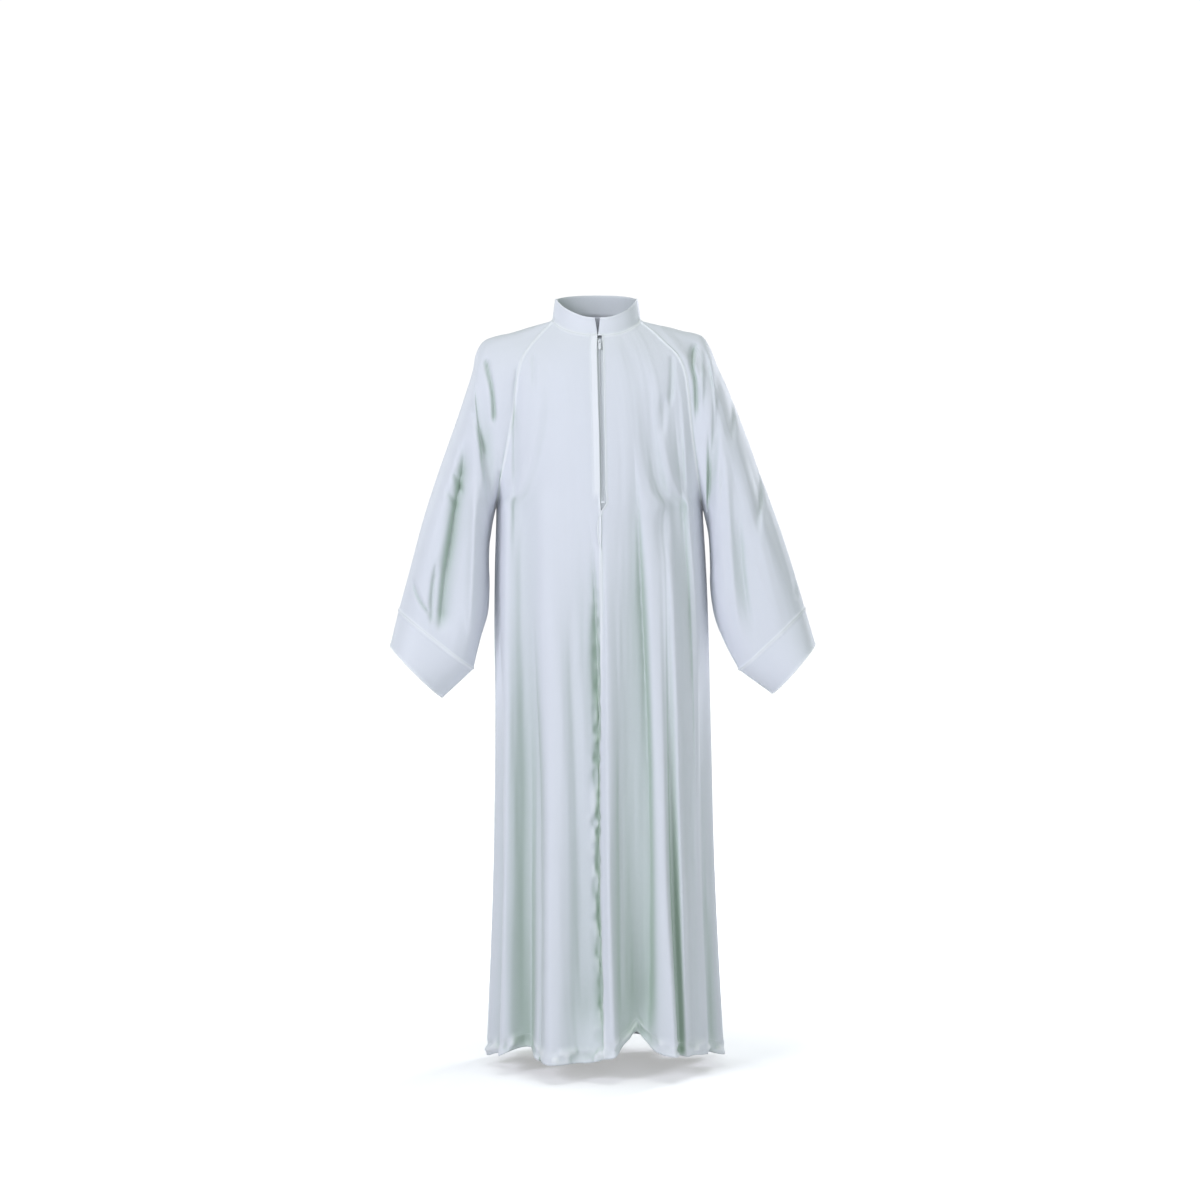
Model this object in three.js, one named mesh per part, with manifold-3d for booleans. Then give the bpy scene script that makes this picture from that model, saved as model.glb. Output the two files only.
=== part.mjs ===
// An alb: a long white vestment with raglan sleeves, a stand collar and a zip at the front.
// It hangs as worn, hollow, and is built from its cut pieces, each a wall of cloth.
// Millimetres, +Z up, the front faces -Y. The origin is the middle of the neck opening,
// where the neck meets the shoulders. Left and right are those of someone facing the front.
import * as THREE from "three";
import { mergeVertices } from "three/addons/utils/BufferGeometryUtils.js";
import Module from "manifold-3d";

// Walls and seams
const CLOTH_WALL = 2;
const BAND_WALL = 2.8;
const BAND_PROUD = 0.6;
const SEAM_GAP = 0.3;
const MERGE_DISTANCE = 1e-4;
const LEVEL_TILT = 0.01;

// Grid of the panels: columns run across a panel, rows up it
const FRONT_COLUMNS = 20;
const BACK_COLUMNS = 14;
const LOWER_ROWS = 9;
const SEAM_ROWS = 12;
const NECK_STEPS = 4;
const SLEEVE_RINGS = 15;
const CUFF_RINGS = 4;

// Heights
const UNDERARM_Z = -374;
const NECK_FRONT_Z = -39;
const NECK_BACK_Z = 15;
const ZIP_END_DROP = 14;
const SEAM_HOLD_LENGTH = 120;
const SEAM_HOLD_POWER = 6;
const FOLD_LENGTH = 1450;
const NECK_SIDE_BULGE = 4;

// Side seams: how far the body reaches to each side, by height
const SIDES = [
  { z: -1480, left: -213, right: 241 },
  { z: -1100, left: -203, right: 226 },
  { z: -800, left: -202, right: 221 },
  { z: -550, left: -206, right: 216 },
  { z: -380, left: -203, right: 207 },
  { z: -374, left: -203, right: 207 },
];
const SIDE_Y = 8;

// Centre lines of the front and of the back, by height
const CENTRE_FRONT = [
  { z: -1480, y: -178 },
  { z: -1100, y: -164 },
  { z: -750, y: -151 },
  { z: -374, y: -135 },
  { z: -290, y: -131 },
  { z: -200, y: -121 },
  { z: -120, y: -104 },
  { z: -70, y: -86 },
  { z: NECK_FRONT_Z, y: -68 },
];
const CENTRE_BACK = [
  { z: -1480, y: 178 },
  { z: -1100, y: 160 },
  { z: -750, y: 143 },
  { z: -374, y: 122 },
  { z: -250, y: 119 },
  { z: -140, y: 112 },
  { z: -60, y: 96 },
  { z: -15, y: 78 },
  { z: NECK_BACK_Z, y: 64 },
];

// Edges of the two fronts: apart along the zip, together along the seam below it
const FRONT_EDGES = [
  { z: -1480, left: 13, right: 13 },
  { z: -1330, left: 11, right: 11 },
  { z: -1140, left: 5, right: 5 },
  { z: UNDERARM_Z - ZIP_END_DROP, left: 5, right: 5 },
  { z: UNDERARM_Z, left: 4, right: 13.6 },
  { z: -250, left: 2, right: 12 },
  { z: -150, left: -1, right: 10 },
  { z: -60, left: -3.3, right: 8.5 },
  { z: NECK_FRONT_Z, left: -2, right: 6 },
];

// Raglan seams from the underarm up to the neck
const RAGLAN_SEAMS = {
  left: {
    front: [
      { x: -203, y: 8, z: -374 },
      { x: -196, y: -42, z: -338 },
      { x: -186, y: -66, z: -290 },
      { x: -175, y: -78, z: -235 },
      { x: -166, y: -80, z: -180 },
      { x: -160, y: -76, z: -130 },
      { x: -153, y: -68, z: -90 },
      { x: -135, y: -55, z: -58 },
      { x: -113, y: -38, z: -30 },
      { x: -90, y: -20, z: -5 },
    ],
    back: [
      { x: -203, y: 8, z: -374 },
      { x: -197, y: 52, z: -338 },
      { x: -187, y: 76, z: -290 },
      { x: -176, y: 88, z: -235 },
      { x: -167, y: 90, z: -180 },
      { x: -160, y: 86, z: -130 },
      { x: -152, y: 78, z: -90 },
      { x: -134, y: 64, z: -52 },
      { x: -111, y: 46, z: -22 },
      { x: -88, y: 26, z: 2 },
    ],
  },
  right: {
    front: [
      { x: 207, y: 8, z: -380 },
      { x: 200, y: -42, z: -340 },
      { x: 192, y: -66, z: -290 },
      { x: 184, y: -77, z: -230 },
      { x: 178, y: -78, z: -170 },
      { x: 171, y: -72, z: -114 },
      { x: 157, y: -64, z: -78 },
      { x: 134, y: -54, z: -54 },
      { x: 108, y: -38, z: -27 },
      { x: 82, y: -20, z: -5 },
    ],
    back: [
      { x: 207, y: 8, z: -380 },
      { x: 200, y: 52, z: -340 },
      { x: 191, y: 76, z: -290 },
      { x: 182, y: 88, z: -232 },
      { x: 174, y: 90, z: -174 },
      { x: 166, y: 85, z: -120 },
      { x: 154, y: 76, z: -82 },
      { x: 132, y: 64, z: -50 },
      { x: 106, y: 46, z: -21 },
      { x: 80, y: 26, z: 2 },
    ],
  },
};

// Folds of the body, once round it. Angles are in degrees from the centre front, to the
// right. A fold starts at a height, stands out by `chest` at the underarm and by `out` at
// the hem (into the body where negative), and `hem` is the height its hem hangs at.
const BODY_FOLDS = [
  { top: -167, foot: -167, start: -420, chest: 0, out: -24, hem: -1456 },
  { top: -152, foot: -152, start: -300, chest: 2, out: 24, hem: -1466 },
  { top: -137, foot: -136, start: -380, chest: -2, out: -20, hem: -1458 },
  { top: -122, foot: -121, start: -260, chest: 3, out: 24, hem: -1468 },
  { top: -105, foot: -105, start: -400, chest: 0, out: -14, hem: -1462 },
  { top: -90, foot: -90, start: -450, chest: 0, out: 10, hem: -1472 },
  { top: -77, foot: -73, start: -400, chest: 0, out: -14, hem: -1460 },
  { top: -61, foot: -57, start: -140, chest: 7, out: 18, hem: -1453 },
  { top: -49, foot: -46, start: -85, chest: -6, out: -22, hem: -1436 },
  { top: -27, foot: -27, start: -330, chest: 1, out: 32, hem: -1453 },
  { top: -9, foot: -10, start: -500, chest: 0, out: -13, hem: -1453 },
  { top: 4, foot: 4, start: -420, chest: 0, out: 11, hem: -1439 },
  { top: 13, foot: 12, start: -450, chest: 0, out: -28, hem: -1413 },
  { top: 17, foot: 20, start: -480, chest: 0, out: -34, hem: -1398 },
  { top: 28, foot: 31, start: -300, chest: 2, out: 28, hem: -1438 },
  { top: 43, foot: 44, start: -80, chest: -12, out: -18, hem: -1443 },
  { top: 54, foot: 56, start: -100, chest: 7, out: 14, hem: -1449 },
  { top: 70, foot: 70, start: -400, chest: 0, out: -15, hem: -1456 },
  { top: 86, foot: 85, start: -450, chest: 0, out: 11, hem: -1466 },
  { top: 103, foot: 102, start: -380, chest: -2, out: -18, hem: -1458 },
  { top: 118, foot: 118, start: -280, chest: 3, out: 25, hem: -1466 },
  { top: 133, foot: 133, start: -360, chest: -2, out: -22, hem: -1456 },
  { top: 148, foot: 149, start: -320, chest: 2, out: 26, hem: -1465 },
  { top: 164, foot: 164, start: -420, chest: 0, out: -20, hem: -1457 },
  { top: 179, foot: 179, start: -340, chest: 2, out: 23, hem: -1464 },
];

// Sleeve sections from the raglan seam to the cuff seam: the outer and the inner end of
// each, the middle of its depth, half its depth, and how much of the seam's own shape it has
const SLEEVE_SECTIONS = {
  left: [
    { at: 0, outerX: -92, outerZ: 0, innerX: -203, innerZ: -374, y: 5, half: 84, seam: 1 },
    { at: 1, outerX: -154, outerZ: -18, innerX: -207, innerZ: -386, y: 5, half: 87, seam: 0.7 },
    { at: 2, outerX: -234, outerZ: -46, innerX: -213, innerZ: -408, y: 3, half: 88, seam: 0.3 },
    { at: 3, outerX: -247, outerZ: -88, innerX: -216, innerZ: -428, y: 2, half: 88, seam: 0.1 },
    { at: 4, outerX: -264, outerZ: -145, innerX: -219, innerZ: -450, y: 0, half: 87, seam: 0 },
    { at: 5, outerX: -289, outerZ: -220, innerX: -220, innerZ: -487, y: -2, half: 85, seam: 0 },
    { at: 6, outerX: -321, outerZ: -313, innerX: -218, innerZ: -530, y: -5, half: 82, seam: 0 },
    { at: 7, outerX: -350, outerZ: -404, innerX: -220, innerZ: -582, y: -9, half: 78, seam: 0 },
    { at: 8, outerX: -377, outerZ: -506, innerX: -236, innerZ: -642, y: -14, half: 73, seam: 0 },
    { at: 9, outerX: -397, outerZ: -580, innerX: -249, innerZ: -697, y: -18, half: 68, seam: 0 },
  ],
  right: [
    { at: 0, outerX: 84, outerZ: 0, innerX: 207, innerZ: -380, y: 5, half: 84, seam: 1 },
    { at: 1, outerX: 148, outerZ: -16, innerX: 211, innerZ: -392, y: 5, half: 87, seam: 0.7 },
    { at: 2, outerX: 209, outerZ: -34, innerX: 216, innerZ: -410, y: 3, half: 88, seam: 0.3 },
    { at: 3, outerX: 231, outerZ: -80, innerX: 220, innerZ: -430, y: 2, half: 88, seam: 0.1 },
    { at: 4, outerX: 260, outerZ: -142, innerX: 222, innerZ: -455, y: 0, half: 87, seam: 0 },
    { at: 5, outerX: 293, outerZ: -228, innerX: 223, innerZ: -492, y: -2, half: 85, seam: 0 },
    { at: 6, outerX: 326, outerZ: -320, innerX: 223, innerZ: -535, y: -5, half: 82, seam: 0 },
    { at: 7, outerX: 359, outerZ: -410, innerX: 231, innerZ: -592, y: -9, half: 78, seam: 0 },
    { at: 8, outerX: 388, outerZ: -500, innerX: 253, innerZ: -648, y: -14, half: 73, seam: 0 },
    { at: 9, outerX: 410, outerZ: -576, innerX: 280, innerZ: -699, y: -18, half: 68, seam: 0 },
  ],
};
const CUFF_MOUTH = {
  left: { outerX: -414, outerZ: -651, innerX: -311, innerZ: -754, y: -22, half: 74 },
  right: { outerX: 431, outerZ: -648, innerX: 346, innerZ: -746, y: -22, half: 74 },
};

// Folds of a sleeve, outwards where `depth` is positive. `at` and `along` are the place
// and half length along the sleeve in sections. `angle` and `across` are the place and half
// width round it in degrees, from the inner side by way of the front. `turn` is the drift
// in degrees for each section.
const SLEEVE_FOLDS = {
  left: [
    { at: 2.2, along: 1.2, angle: 95, across: 80, turn: 0, depth: -15 },
    { at: 2.2, along: 1.2, angle: 262, across: 75, turn: 0, depth: -12 },
    { at: 7, along: 3.4, angle: 98, across: 32, turn: -3, depth: -10 },
    { at: 7.4, along: 2.8, angle: 52, across: 30, turn: -2, depth: 7 },
    { at: 6, along: 2.6, angle: 136, across: 24, turn: 2, depth: 5 },
    { at: 6.8, along: 3, angle: 268, across: 30, turn: 3, depth: -9 },
    { at: 6.2, along: 2.6, angle: 226, across: 26, turn: 0, depth: 6 },
  ],
  right: [
    { at: 1.7, along: 0.9, angle: 128, across: 42, turn: 0, depth: -12 },
    { at: 3, along: 1.1, angle: 70, across: 60, turn: 0, depth: -13 },
    { at: 2.2, along: 1.2, angle: 262, across: 75, turn: 0, depth: -12 },
    { at: 7, along: 3.2, angle: 84, across: 30, turn: -2, depth: -9 },
    { at: 7.2, along: 2.8, angle: 44, across: 28, turn: -2, depth: 6 },
    { at: 6, along: 3, angle: 122, across: 26, turn: 2, depth: 6 },
    { at: 6.6, along: 3, angle: 272, across: 30, turn: 2, depth: -9 },
    { at: 6.4, along: 2.6, angle: 230, across: 26, turn: 0, depth: 6 },
  ],
};

// Collar: its height, how far its top leans in, and how its ends part towards the top
const COLLAR_ROWS = 2;
const COLLAR_HEIGHT = { front: 36, side: 44, back: 42 };
const COLLAR_LEAN = { front: 3, side: 7, back: 5 };
const COLLAR_END = { leftBase: -0.6, leftTop: -7.5, rightBase: 0.6, rightTop: 3, columns: 8 };

// Zip: tapes behind the edges of the fronts, with the slider and the stop on them
const TAPE_WALL = 1;
const TAPE_GAP = 0.5;
const TAPE_HIDDEN = 11;
const TAPE_TOP_SHARE = 0.9;
const SEAT_GAP = 0.3;
const SLIDER = { z: -52, shoulder: 3.5, top: 2.6, waist: 3, foot: 2.2, length: 9, thick: 2.6 };
const SLIDER_CORNER = { top: 1.3, foot: 0.9 };
const BRIDGE = { width: 1.6, wall: 0.9, inside: 3.6, lift: 2.1, sunk: 0.2, corner: 0.8 };
const PULL_TAB = { width: 5, length: 21, thick: 1.2, rail: 0.9, eye: 3.2, corner: 1.4 };
const STOP = { z: -370, width: 7.8, length: 4, thick: 1.2 };

const WHITE_CLOTH = new THREE.MeshStandardMaterial({ color: 0xe9eef5, roughness: 0.78 });
const BAND_CLOTH = new THREE.MeshStandardMaterial({ color: 0xedf1f7, roughness: 0.74 });
const TAPE_CLOTH = new THREE.MeshStandardMaterial({ color: 0xd9dee2, roughness: 0.85 });
const ZIP_METAL = new THREE.MeshStandardMaterial({
  color: 0xdfe3e6,
  roughness: 0.35,
  metalness: 0.6,
});

const { lerp, clamp, degToRad } = THREE.MathUtils;

// Reads every column of a table at any value of its key, on a smooth curve through its rows.
function smoothTable(rows, key) {
  const last = rows.length - 1;
  const slope = (i, column) => {
    const before = rows[Math.max(i - 1, 0)];
    const after = rows[Math.min(i + 1, last)];
    return (after[column] - before[column]) / (after[key] - before[key]);
  };
  return (value) => {
    let i = 0;
    while (i < last - 1 && value > rows[i + 1][key]) i++;
    const gap = rows[i + 1][key] - rows[i][key];
    const t = clamp((value - rows[i][key]) / gap, 0, 1);
    const read = {};
    for (const column of Object.keys(rows[0])) {
      const from = rows[i][column];
      const to = rows[i + 1][column];
      const fromSlope = slope(i, column) * gap;
      const toSlope = slope(i + 1, column) * gap;
      const rise = to - from;
      const bend = t * (1 - t) * ((fromSlope - rise) * (1 - t) - (toSlope - rise) * t);
      read[column] = from + rise * t + bend;
    }
    return read;
  };
}

// Reads every column of a table along straight lines between its rows.
function straightTable(rows, key) {
  return (value) => {
    let i = 0;
    while (i < rows.length - 2 && value > rows[i + 1][key]) i++;
    const t = clamp((value - rows[i][key]) / (rows[i + 1][key] - rows[i][key]), 0, 1);
    const read = {};
    for (const column of Object.keys(rows[0])) {
      read[column] = lerp(rows[i][column], rows[i + 1][column], t);
    }
    return read;
  };
}

// A soft hump: 1 in the middle, 0 from one half width away.
function hump(distance) {
  return Math.abs(distance) < 1 ? 0.5 + 0.5 * Math.cos(Math.PI * distance) : 0;
}

const sidesAt = smoothTable(SIDES, "z");
const centreAt = {
  front: smoothTable(CENTRE_FRONT, "z"),
  back: smoothTable(CENTRE_BACK, "z"),
};
const edgesAt = straightTable(FRONT_EDGES, "z");
const neckZ = { front: NECK_FRONT_Z, back: NECK_BACK_Z };

// Points along a raglan seam, evenly spaced from the underarm to the neck.
function seamPoints(rows) {
  const points = rows.map((row) => new THREE.Vector3(row.x, row.y, row.z));
  return new THREE.CatmullRomCurve3(points, false, "centripetal").getSpacedPoints(SEAM_ROWS);
}

const seams = {};
for (const side of ["left", "right"]) {
  seams[side] = {
    front: seamPoints(RAGLAN_SEAMS[side].front),
    back: seamPoints(RAGLAN_SEAMS[side].back),
  };
}

// How far a fold stands out at a height: nothing at its start, then to the underarm, then the hem.
function foldReach(fold, z) {
  if (z >= fold.start) return 0;
  if (fold.start <= UNDERARM_Z) {
    return fold.out * clamp((fold.start - z) / (fold.start - fold.hem), 0, 1);
  }
  if (z >= UNDERARM_Z) return fold.chest * ((fold.start - z) / (fold.start - UNDERARM_Z));
  return lerp(fold.chest, fold.out, clamp((UNDERARM_Z - z) / (UNDERARM_Z - fold.hem), 0, 1));
}

// The folds' angles, reaches and hems round the body at one height, and the one read at an angle.
function foldsAt(angle, z) {
  const drop = clamp(-z / FOLD_LENGTH, 0, 1);
  const stations = BODY_FOLDS.map((fold) => ({
    angle: lerp(fold.top, fold.foot, drop),
    reach: foldReach(fold, z),
    hem: fold.hem,
  }));
  const first = stations[0];
  const last = stations[stations.length - 1];
  stations.unshift({ ...last, angle: last.angle - 360 });
  stations.push({ ...first, angle: first.angle + 360 });
  let i = 0;
  while (angle > stations[i + 1].angle) i++;
  const share = (angle - stations[i].angle) / (stations[i + 1].angle - stations[i].angle);
  const eased = 0.5 - 0.5 * Math.cos(Math.PI * share);
  return {
    reach: lerp(stations[i].reach, stations[i + 1].reach, eased),
    hem: lerp(stations[i].hem, stations[i + 1].hem, eased),
  };
}

// Shares of the way from the hem to the underarm at which the lower rows lie.
function lowerShares() {
  const shares = [];
  for (let row = 0; row < LOWER_ROWS; row++) shares.push(row / LOWER_ROWS);
  const length = UNDERARM_Z - BODY_FOLDS[0].hem;
  shares.push(1 - ZIP_END_DROP / length);
  shares.push(1);
  return shares;
}

const LOWER_SHARES = lowerShares();
const UNDERARM_ROW = LOWER_SHARES.length - 1;
const BODY_ROWS = UNDERARM_ROW + SEAM_ROWS;

// A point of the body on one face and side: `row` up from the hem, `share` from centre to side.
function bodyPoint(face, side, row, share, edge) {
  const right = side === "right" ? 1 : -1;
  const back = face === "back" ? 1 : -1;
  const turn = face === "front" ? share * 90 : 180 - share * 90;
  const upper = Math.max(row - UNDERARM_ROW, 0) / SEAM_ROWS;
  const seam = seams[side][face][Math.max(row - UNDERARM_ROW, 0)];
  const sideEnd = new THREE.Vector3();
  let centreZ;
  let sideY = SIDE_Y;
  if (upper > 0) {
    centreZ = lerp(UNDERARM_Z, neckZ[face], upper);
    sideEnd.copy(seam);
    sideY = lerp(SIDE_Y, 0, upper);
  } else {
    const underarm = lerp(UNDERARM_Z, seam.z, 1 - Math.cos(degToRad(share * 90)));
    centreZ = lerp(foldsAt(right * turn, UNDERARM_Z).hem, underarm, LOWER_SHARES[row]);
    sideEnd.set(sidesAt(centreZ)[side], SIDE_Y, centreZ);
  }
  const centreY = centreAt[face](centreZ).y;
  const centreX = edge ? edgesAt(centreZ)[edge] : 0;
  const cosEnd = (sideEnd.y - sideY) / (centreY - sideY);
  const endAngle = Math.acos(clamp(cosEnd, -1, 1));
  const angle = share * endAngle;
  const halfWidth = (sideEnd.x - centreX) / Math.sin(endAngle);
  const climb = (1 - Math.cos(angle)) / (1 - Math.cos(endAngle));
  const point = new THREE.Vector3(
    centreX + halfWidth * Math.sin(angle),
    sideY + (centreY - sideY) * Math.cos(angle),
    lerp(centreZ, sideEnd.z, climb),
  );
  const outward = new THREE.Vector3(
    right * Math.sin(angle) * Math.abs(centreY - sideY),
    back * Math.cos(angle) * Math.abs(halfWidth),
    0,
  ).normalize();
  const free = clamp((UNDERARM_Z - point.z) / SEAM_HOLD_LENGTH, 0, 1);
  const held = 1 - share ** SEAM_HOLD_POWER * (1 - free);
  return point.addScaledVector(outward, foldsAt(right * turn, point.z).reach * held);
}

// A front panel's points, from the hem to the neck, and from its edge to the side.
function frontGrid(side) {
  const grid = [];
  for (let row = 0; row <= BODY_ROWS; row++) {
    const points = [];
    for (let column = 0; column <= FRONT_COLUMNS; column++) {
      points.push(bodyPoint("front", side, row, column / FRONT_COLUMNS, side));
    }
    grid.push(points);
  }
  return grid;
}

// The back panel's points, from the hem to the neck, and from the left side to the right.
function backGrid() {
  const grid = [];
  for (let row = 0; row <= BODY_ROWS; row++) {
    const points = [];
    for (let column = -BACK_COLUMNS; column <= BACK_COLUMNS; column++) {
      const side = column < 0 ? "left" : "right";
      points.push(bodyPoint("back", side, row, Math.abs(column) / BACK_COLUMNS));
    }
    grid.push(points);
  }
  return grid;
}

// The neck edge of a sleeve, from its front seam to its back seam.
function sleeveNeck(side) {
  const from = seams[side].front[SEAM_ROWS];
  const to = seams[side].back[SEAM_ROWS];
  const bulge = side === "right" ? NECK_SIDE_BULGE : -NECK_SIDE_BULGE;
  const points = [];
  for (let step = 1; step < NECK_STEPS; step++) {
    const share = step / NECK_STEPS;
    const point = from.clone().lerp(to, share);
    point.x += bulge * Math.sin(Math.PI * share);
    points.push(point);
  }
  return points;
}

// The edge that a sleeve is sewn on by: up the front seam, over the neck, down the back seam.
function sleeveSeam(side) {
  const up = seams[side].front.map((point) => point.clone());
  const down = seams[side].back.slice(1).reverse();
  return [...up, ...sleeveNeck(side), ...down.map((point) => point.clone())];
}

// A point of an oval section, with its outward direction. Angle 0 is its inner end, 90 its front.
function ovalPoint(section, angle) {
  const outer = new THREE.Vector3(section.outerX, section.y, section.outerZ);
  const inner = new THREE.Vector3(section.innerX, section.y, section.innerZ);
  const middle = outer.clone().add(inner).multiplyScalar(0.5);
  const across = inner.sub(middle);
  const halfLength = across.length();
  const point = middle.addScaledVector(across, Math.cos(angle));
  point.y -= section.half * Math.sin(angle);
  const outward = across.multiplyScalar((Math.cos(angle) * section.half) / halfLength);
  outward.y -= Math.sin(angle) * halfLength;
  return { point, outward: outward.normalize() };
}

// How far the sleeve's folds stand out at a section and an angle in degrees.
function sleeveFold(side, at, degrees) {
  let reach = 0;
  for (const fold of SLEEVE_FOLDS[side]) {
    const middle = fold.angle + fold.turn * (at - fold.at);
    const along = hump((at - fold.at) / fold.along);
    reach += fold.depth * along * hump((degrees - middle) / fold.across);
  }
  return reach;
}

const SLEEVE_POINTS = 2 * SEAM_ROWS + NECK_STEPS;

// A sleeve's rings, from the raglan seam to the cuff seam.
function sleeveGrid(side) {
  const sections = SLEEVE_SECTIONS[side];
  const sectionAt = smoothTable(sections, "at");
  const seam = sleeveSeam(side);
  const lastSection = sections.length - 1;
  const grid = [];
  for (let ring = 0; ring < SLEEVE_RINGS; ring++) {
    const at = (lastSection * ring) / (SLEEVE_RINGS - 1);
    const section = sectionAt(at);
    const points = [];
    for (let i = 0; i < SLEEVE_POINTS; i++) {
      const degrees = (360 * i) / SLEEVE_POINTS;
      const angle = degToRad(degrees);
      const first = ovalPoint(sections[0], angle).point;
      const { point, outward } = ovalPoint(section, angle);
      point.addScaledVector(seam[i].clone().sub(first), section.seam);
      if (ring > 0) point.addScaledVector(outward, sleeveFold(side, at, degrees));
      points.push(point);
    }
    grid.push(points);
  }
  return grid;
}

// A cuff's rings, from the cuff seam to its mouth.
function cuffGrid(side, seamRing) {
  const grid = [];
  for (let ring = 0; ring < CUFF_RINGS; ring++) {
    const share = ring / (CUFF_RINGS - 1);
    const points = seamRing.map((seamPoint, i) => {
      const angle = (2 * Math.PI * i) / SLEEVE_POINTS;
      return seamPoint.clone().lerp(ovalPoint(CUFF_MOUTH[side], angle).point, share);
    });
    grid.push(points);
  }
  return grid;
}

// The neck edge of the whole garment, from the left front's edge round the back to the right's.
function neckLoop(frontLeft, back, frontRight) {
  const top = BODY_ROWS;
  const left = frontLeft[top].map((point) => point.clone());
  const right = frontRight[top].map((point) => point.clone()).reverse();
  const behind = back[top].map((point) => point.clone());
  left[0].x = COLLAR_END.leftBase;
  right[right.length - 1].x = COLLAR_END.rightBase;
  return [
    ...left,
    ...sleeveNeck("left"),
    ...behind,
    ...sleeveNeck("right").reverse(),
    ...right,
  ];
}

// The collar's points, from the neck seam to its top.
function collarGrid(neck) {
  const grid = [];
  for (let row = 0; row <= COLLAR_ROWS; row++) {
    const share = row / COLLAR_ROWS;
    const points = neck.map((base) => {
      const sideways = Math.abs(base.x) / Math.hypot(base.x, base.y);
      const middle = base.y < 0 ? "front" : "back";
      const height = lerp(COLLAR_HEIGHT[middle], COLLAR_HEIGHT.side, sideways ** 2);
      const lean = lerp(COLLAR_LEAN[middle], COLLAR_LEAN.side, sideways ** 2);
      const inward = new THREE.Vector3(-base.x, -base.y, 0).setLength(lean * share);
      const point = base.clone().add(inward);
      point.z += height * share;
      return point;
    });
    const { leftBase, leftTop, rightBase, rightTop, columns } = COLLAR_END;
    for (let i = 0; i < columns; i++) {
      const ease = 1 - i / columns;
      points[i].x += (leftTop - leftBase) * share * ease;
      points[points.length - 1 - i].x += (rightTop - rightBase) * share * ease;
    }
    grid.push(points);
  }
  return grid;
}

// Adds up the outward normals of the cloth's faces at each point, so that pieces that meet
// at a seam share one direction there.
class SharedNormals {
  constructor() {
    this.sums = new Map();
  }

  key(point) {
    return [point.x, point.y, point.z].map((value) => value.toFixed(2)).join();
  }

  addFace(corners) {
    const diagonal = corners[2].clone().sub(corners[0]);
    const normal = diagonal.cross(corners[3].clone().sub(corners[1]));
    for (const corner of corners) {
      const key = this.key(corner);
      if (!this.sums.has(key)) this.sums.set(key, new THREE.Vector3());
      this.sums.get(key).add(normal);
    }
  }

  at(point) {
    return this.sums.get(this.key(point)).clone().normalize();
  }
}

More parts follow.
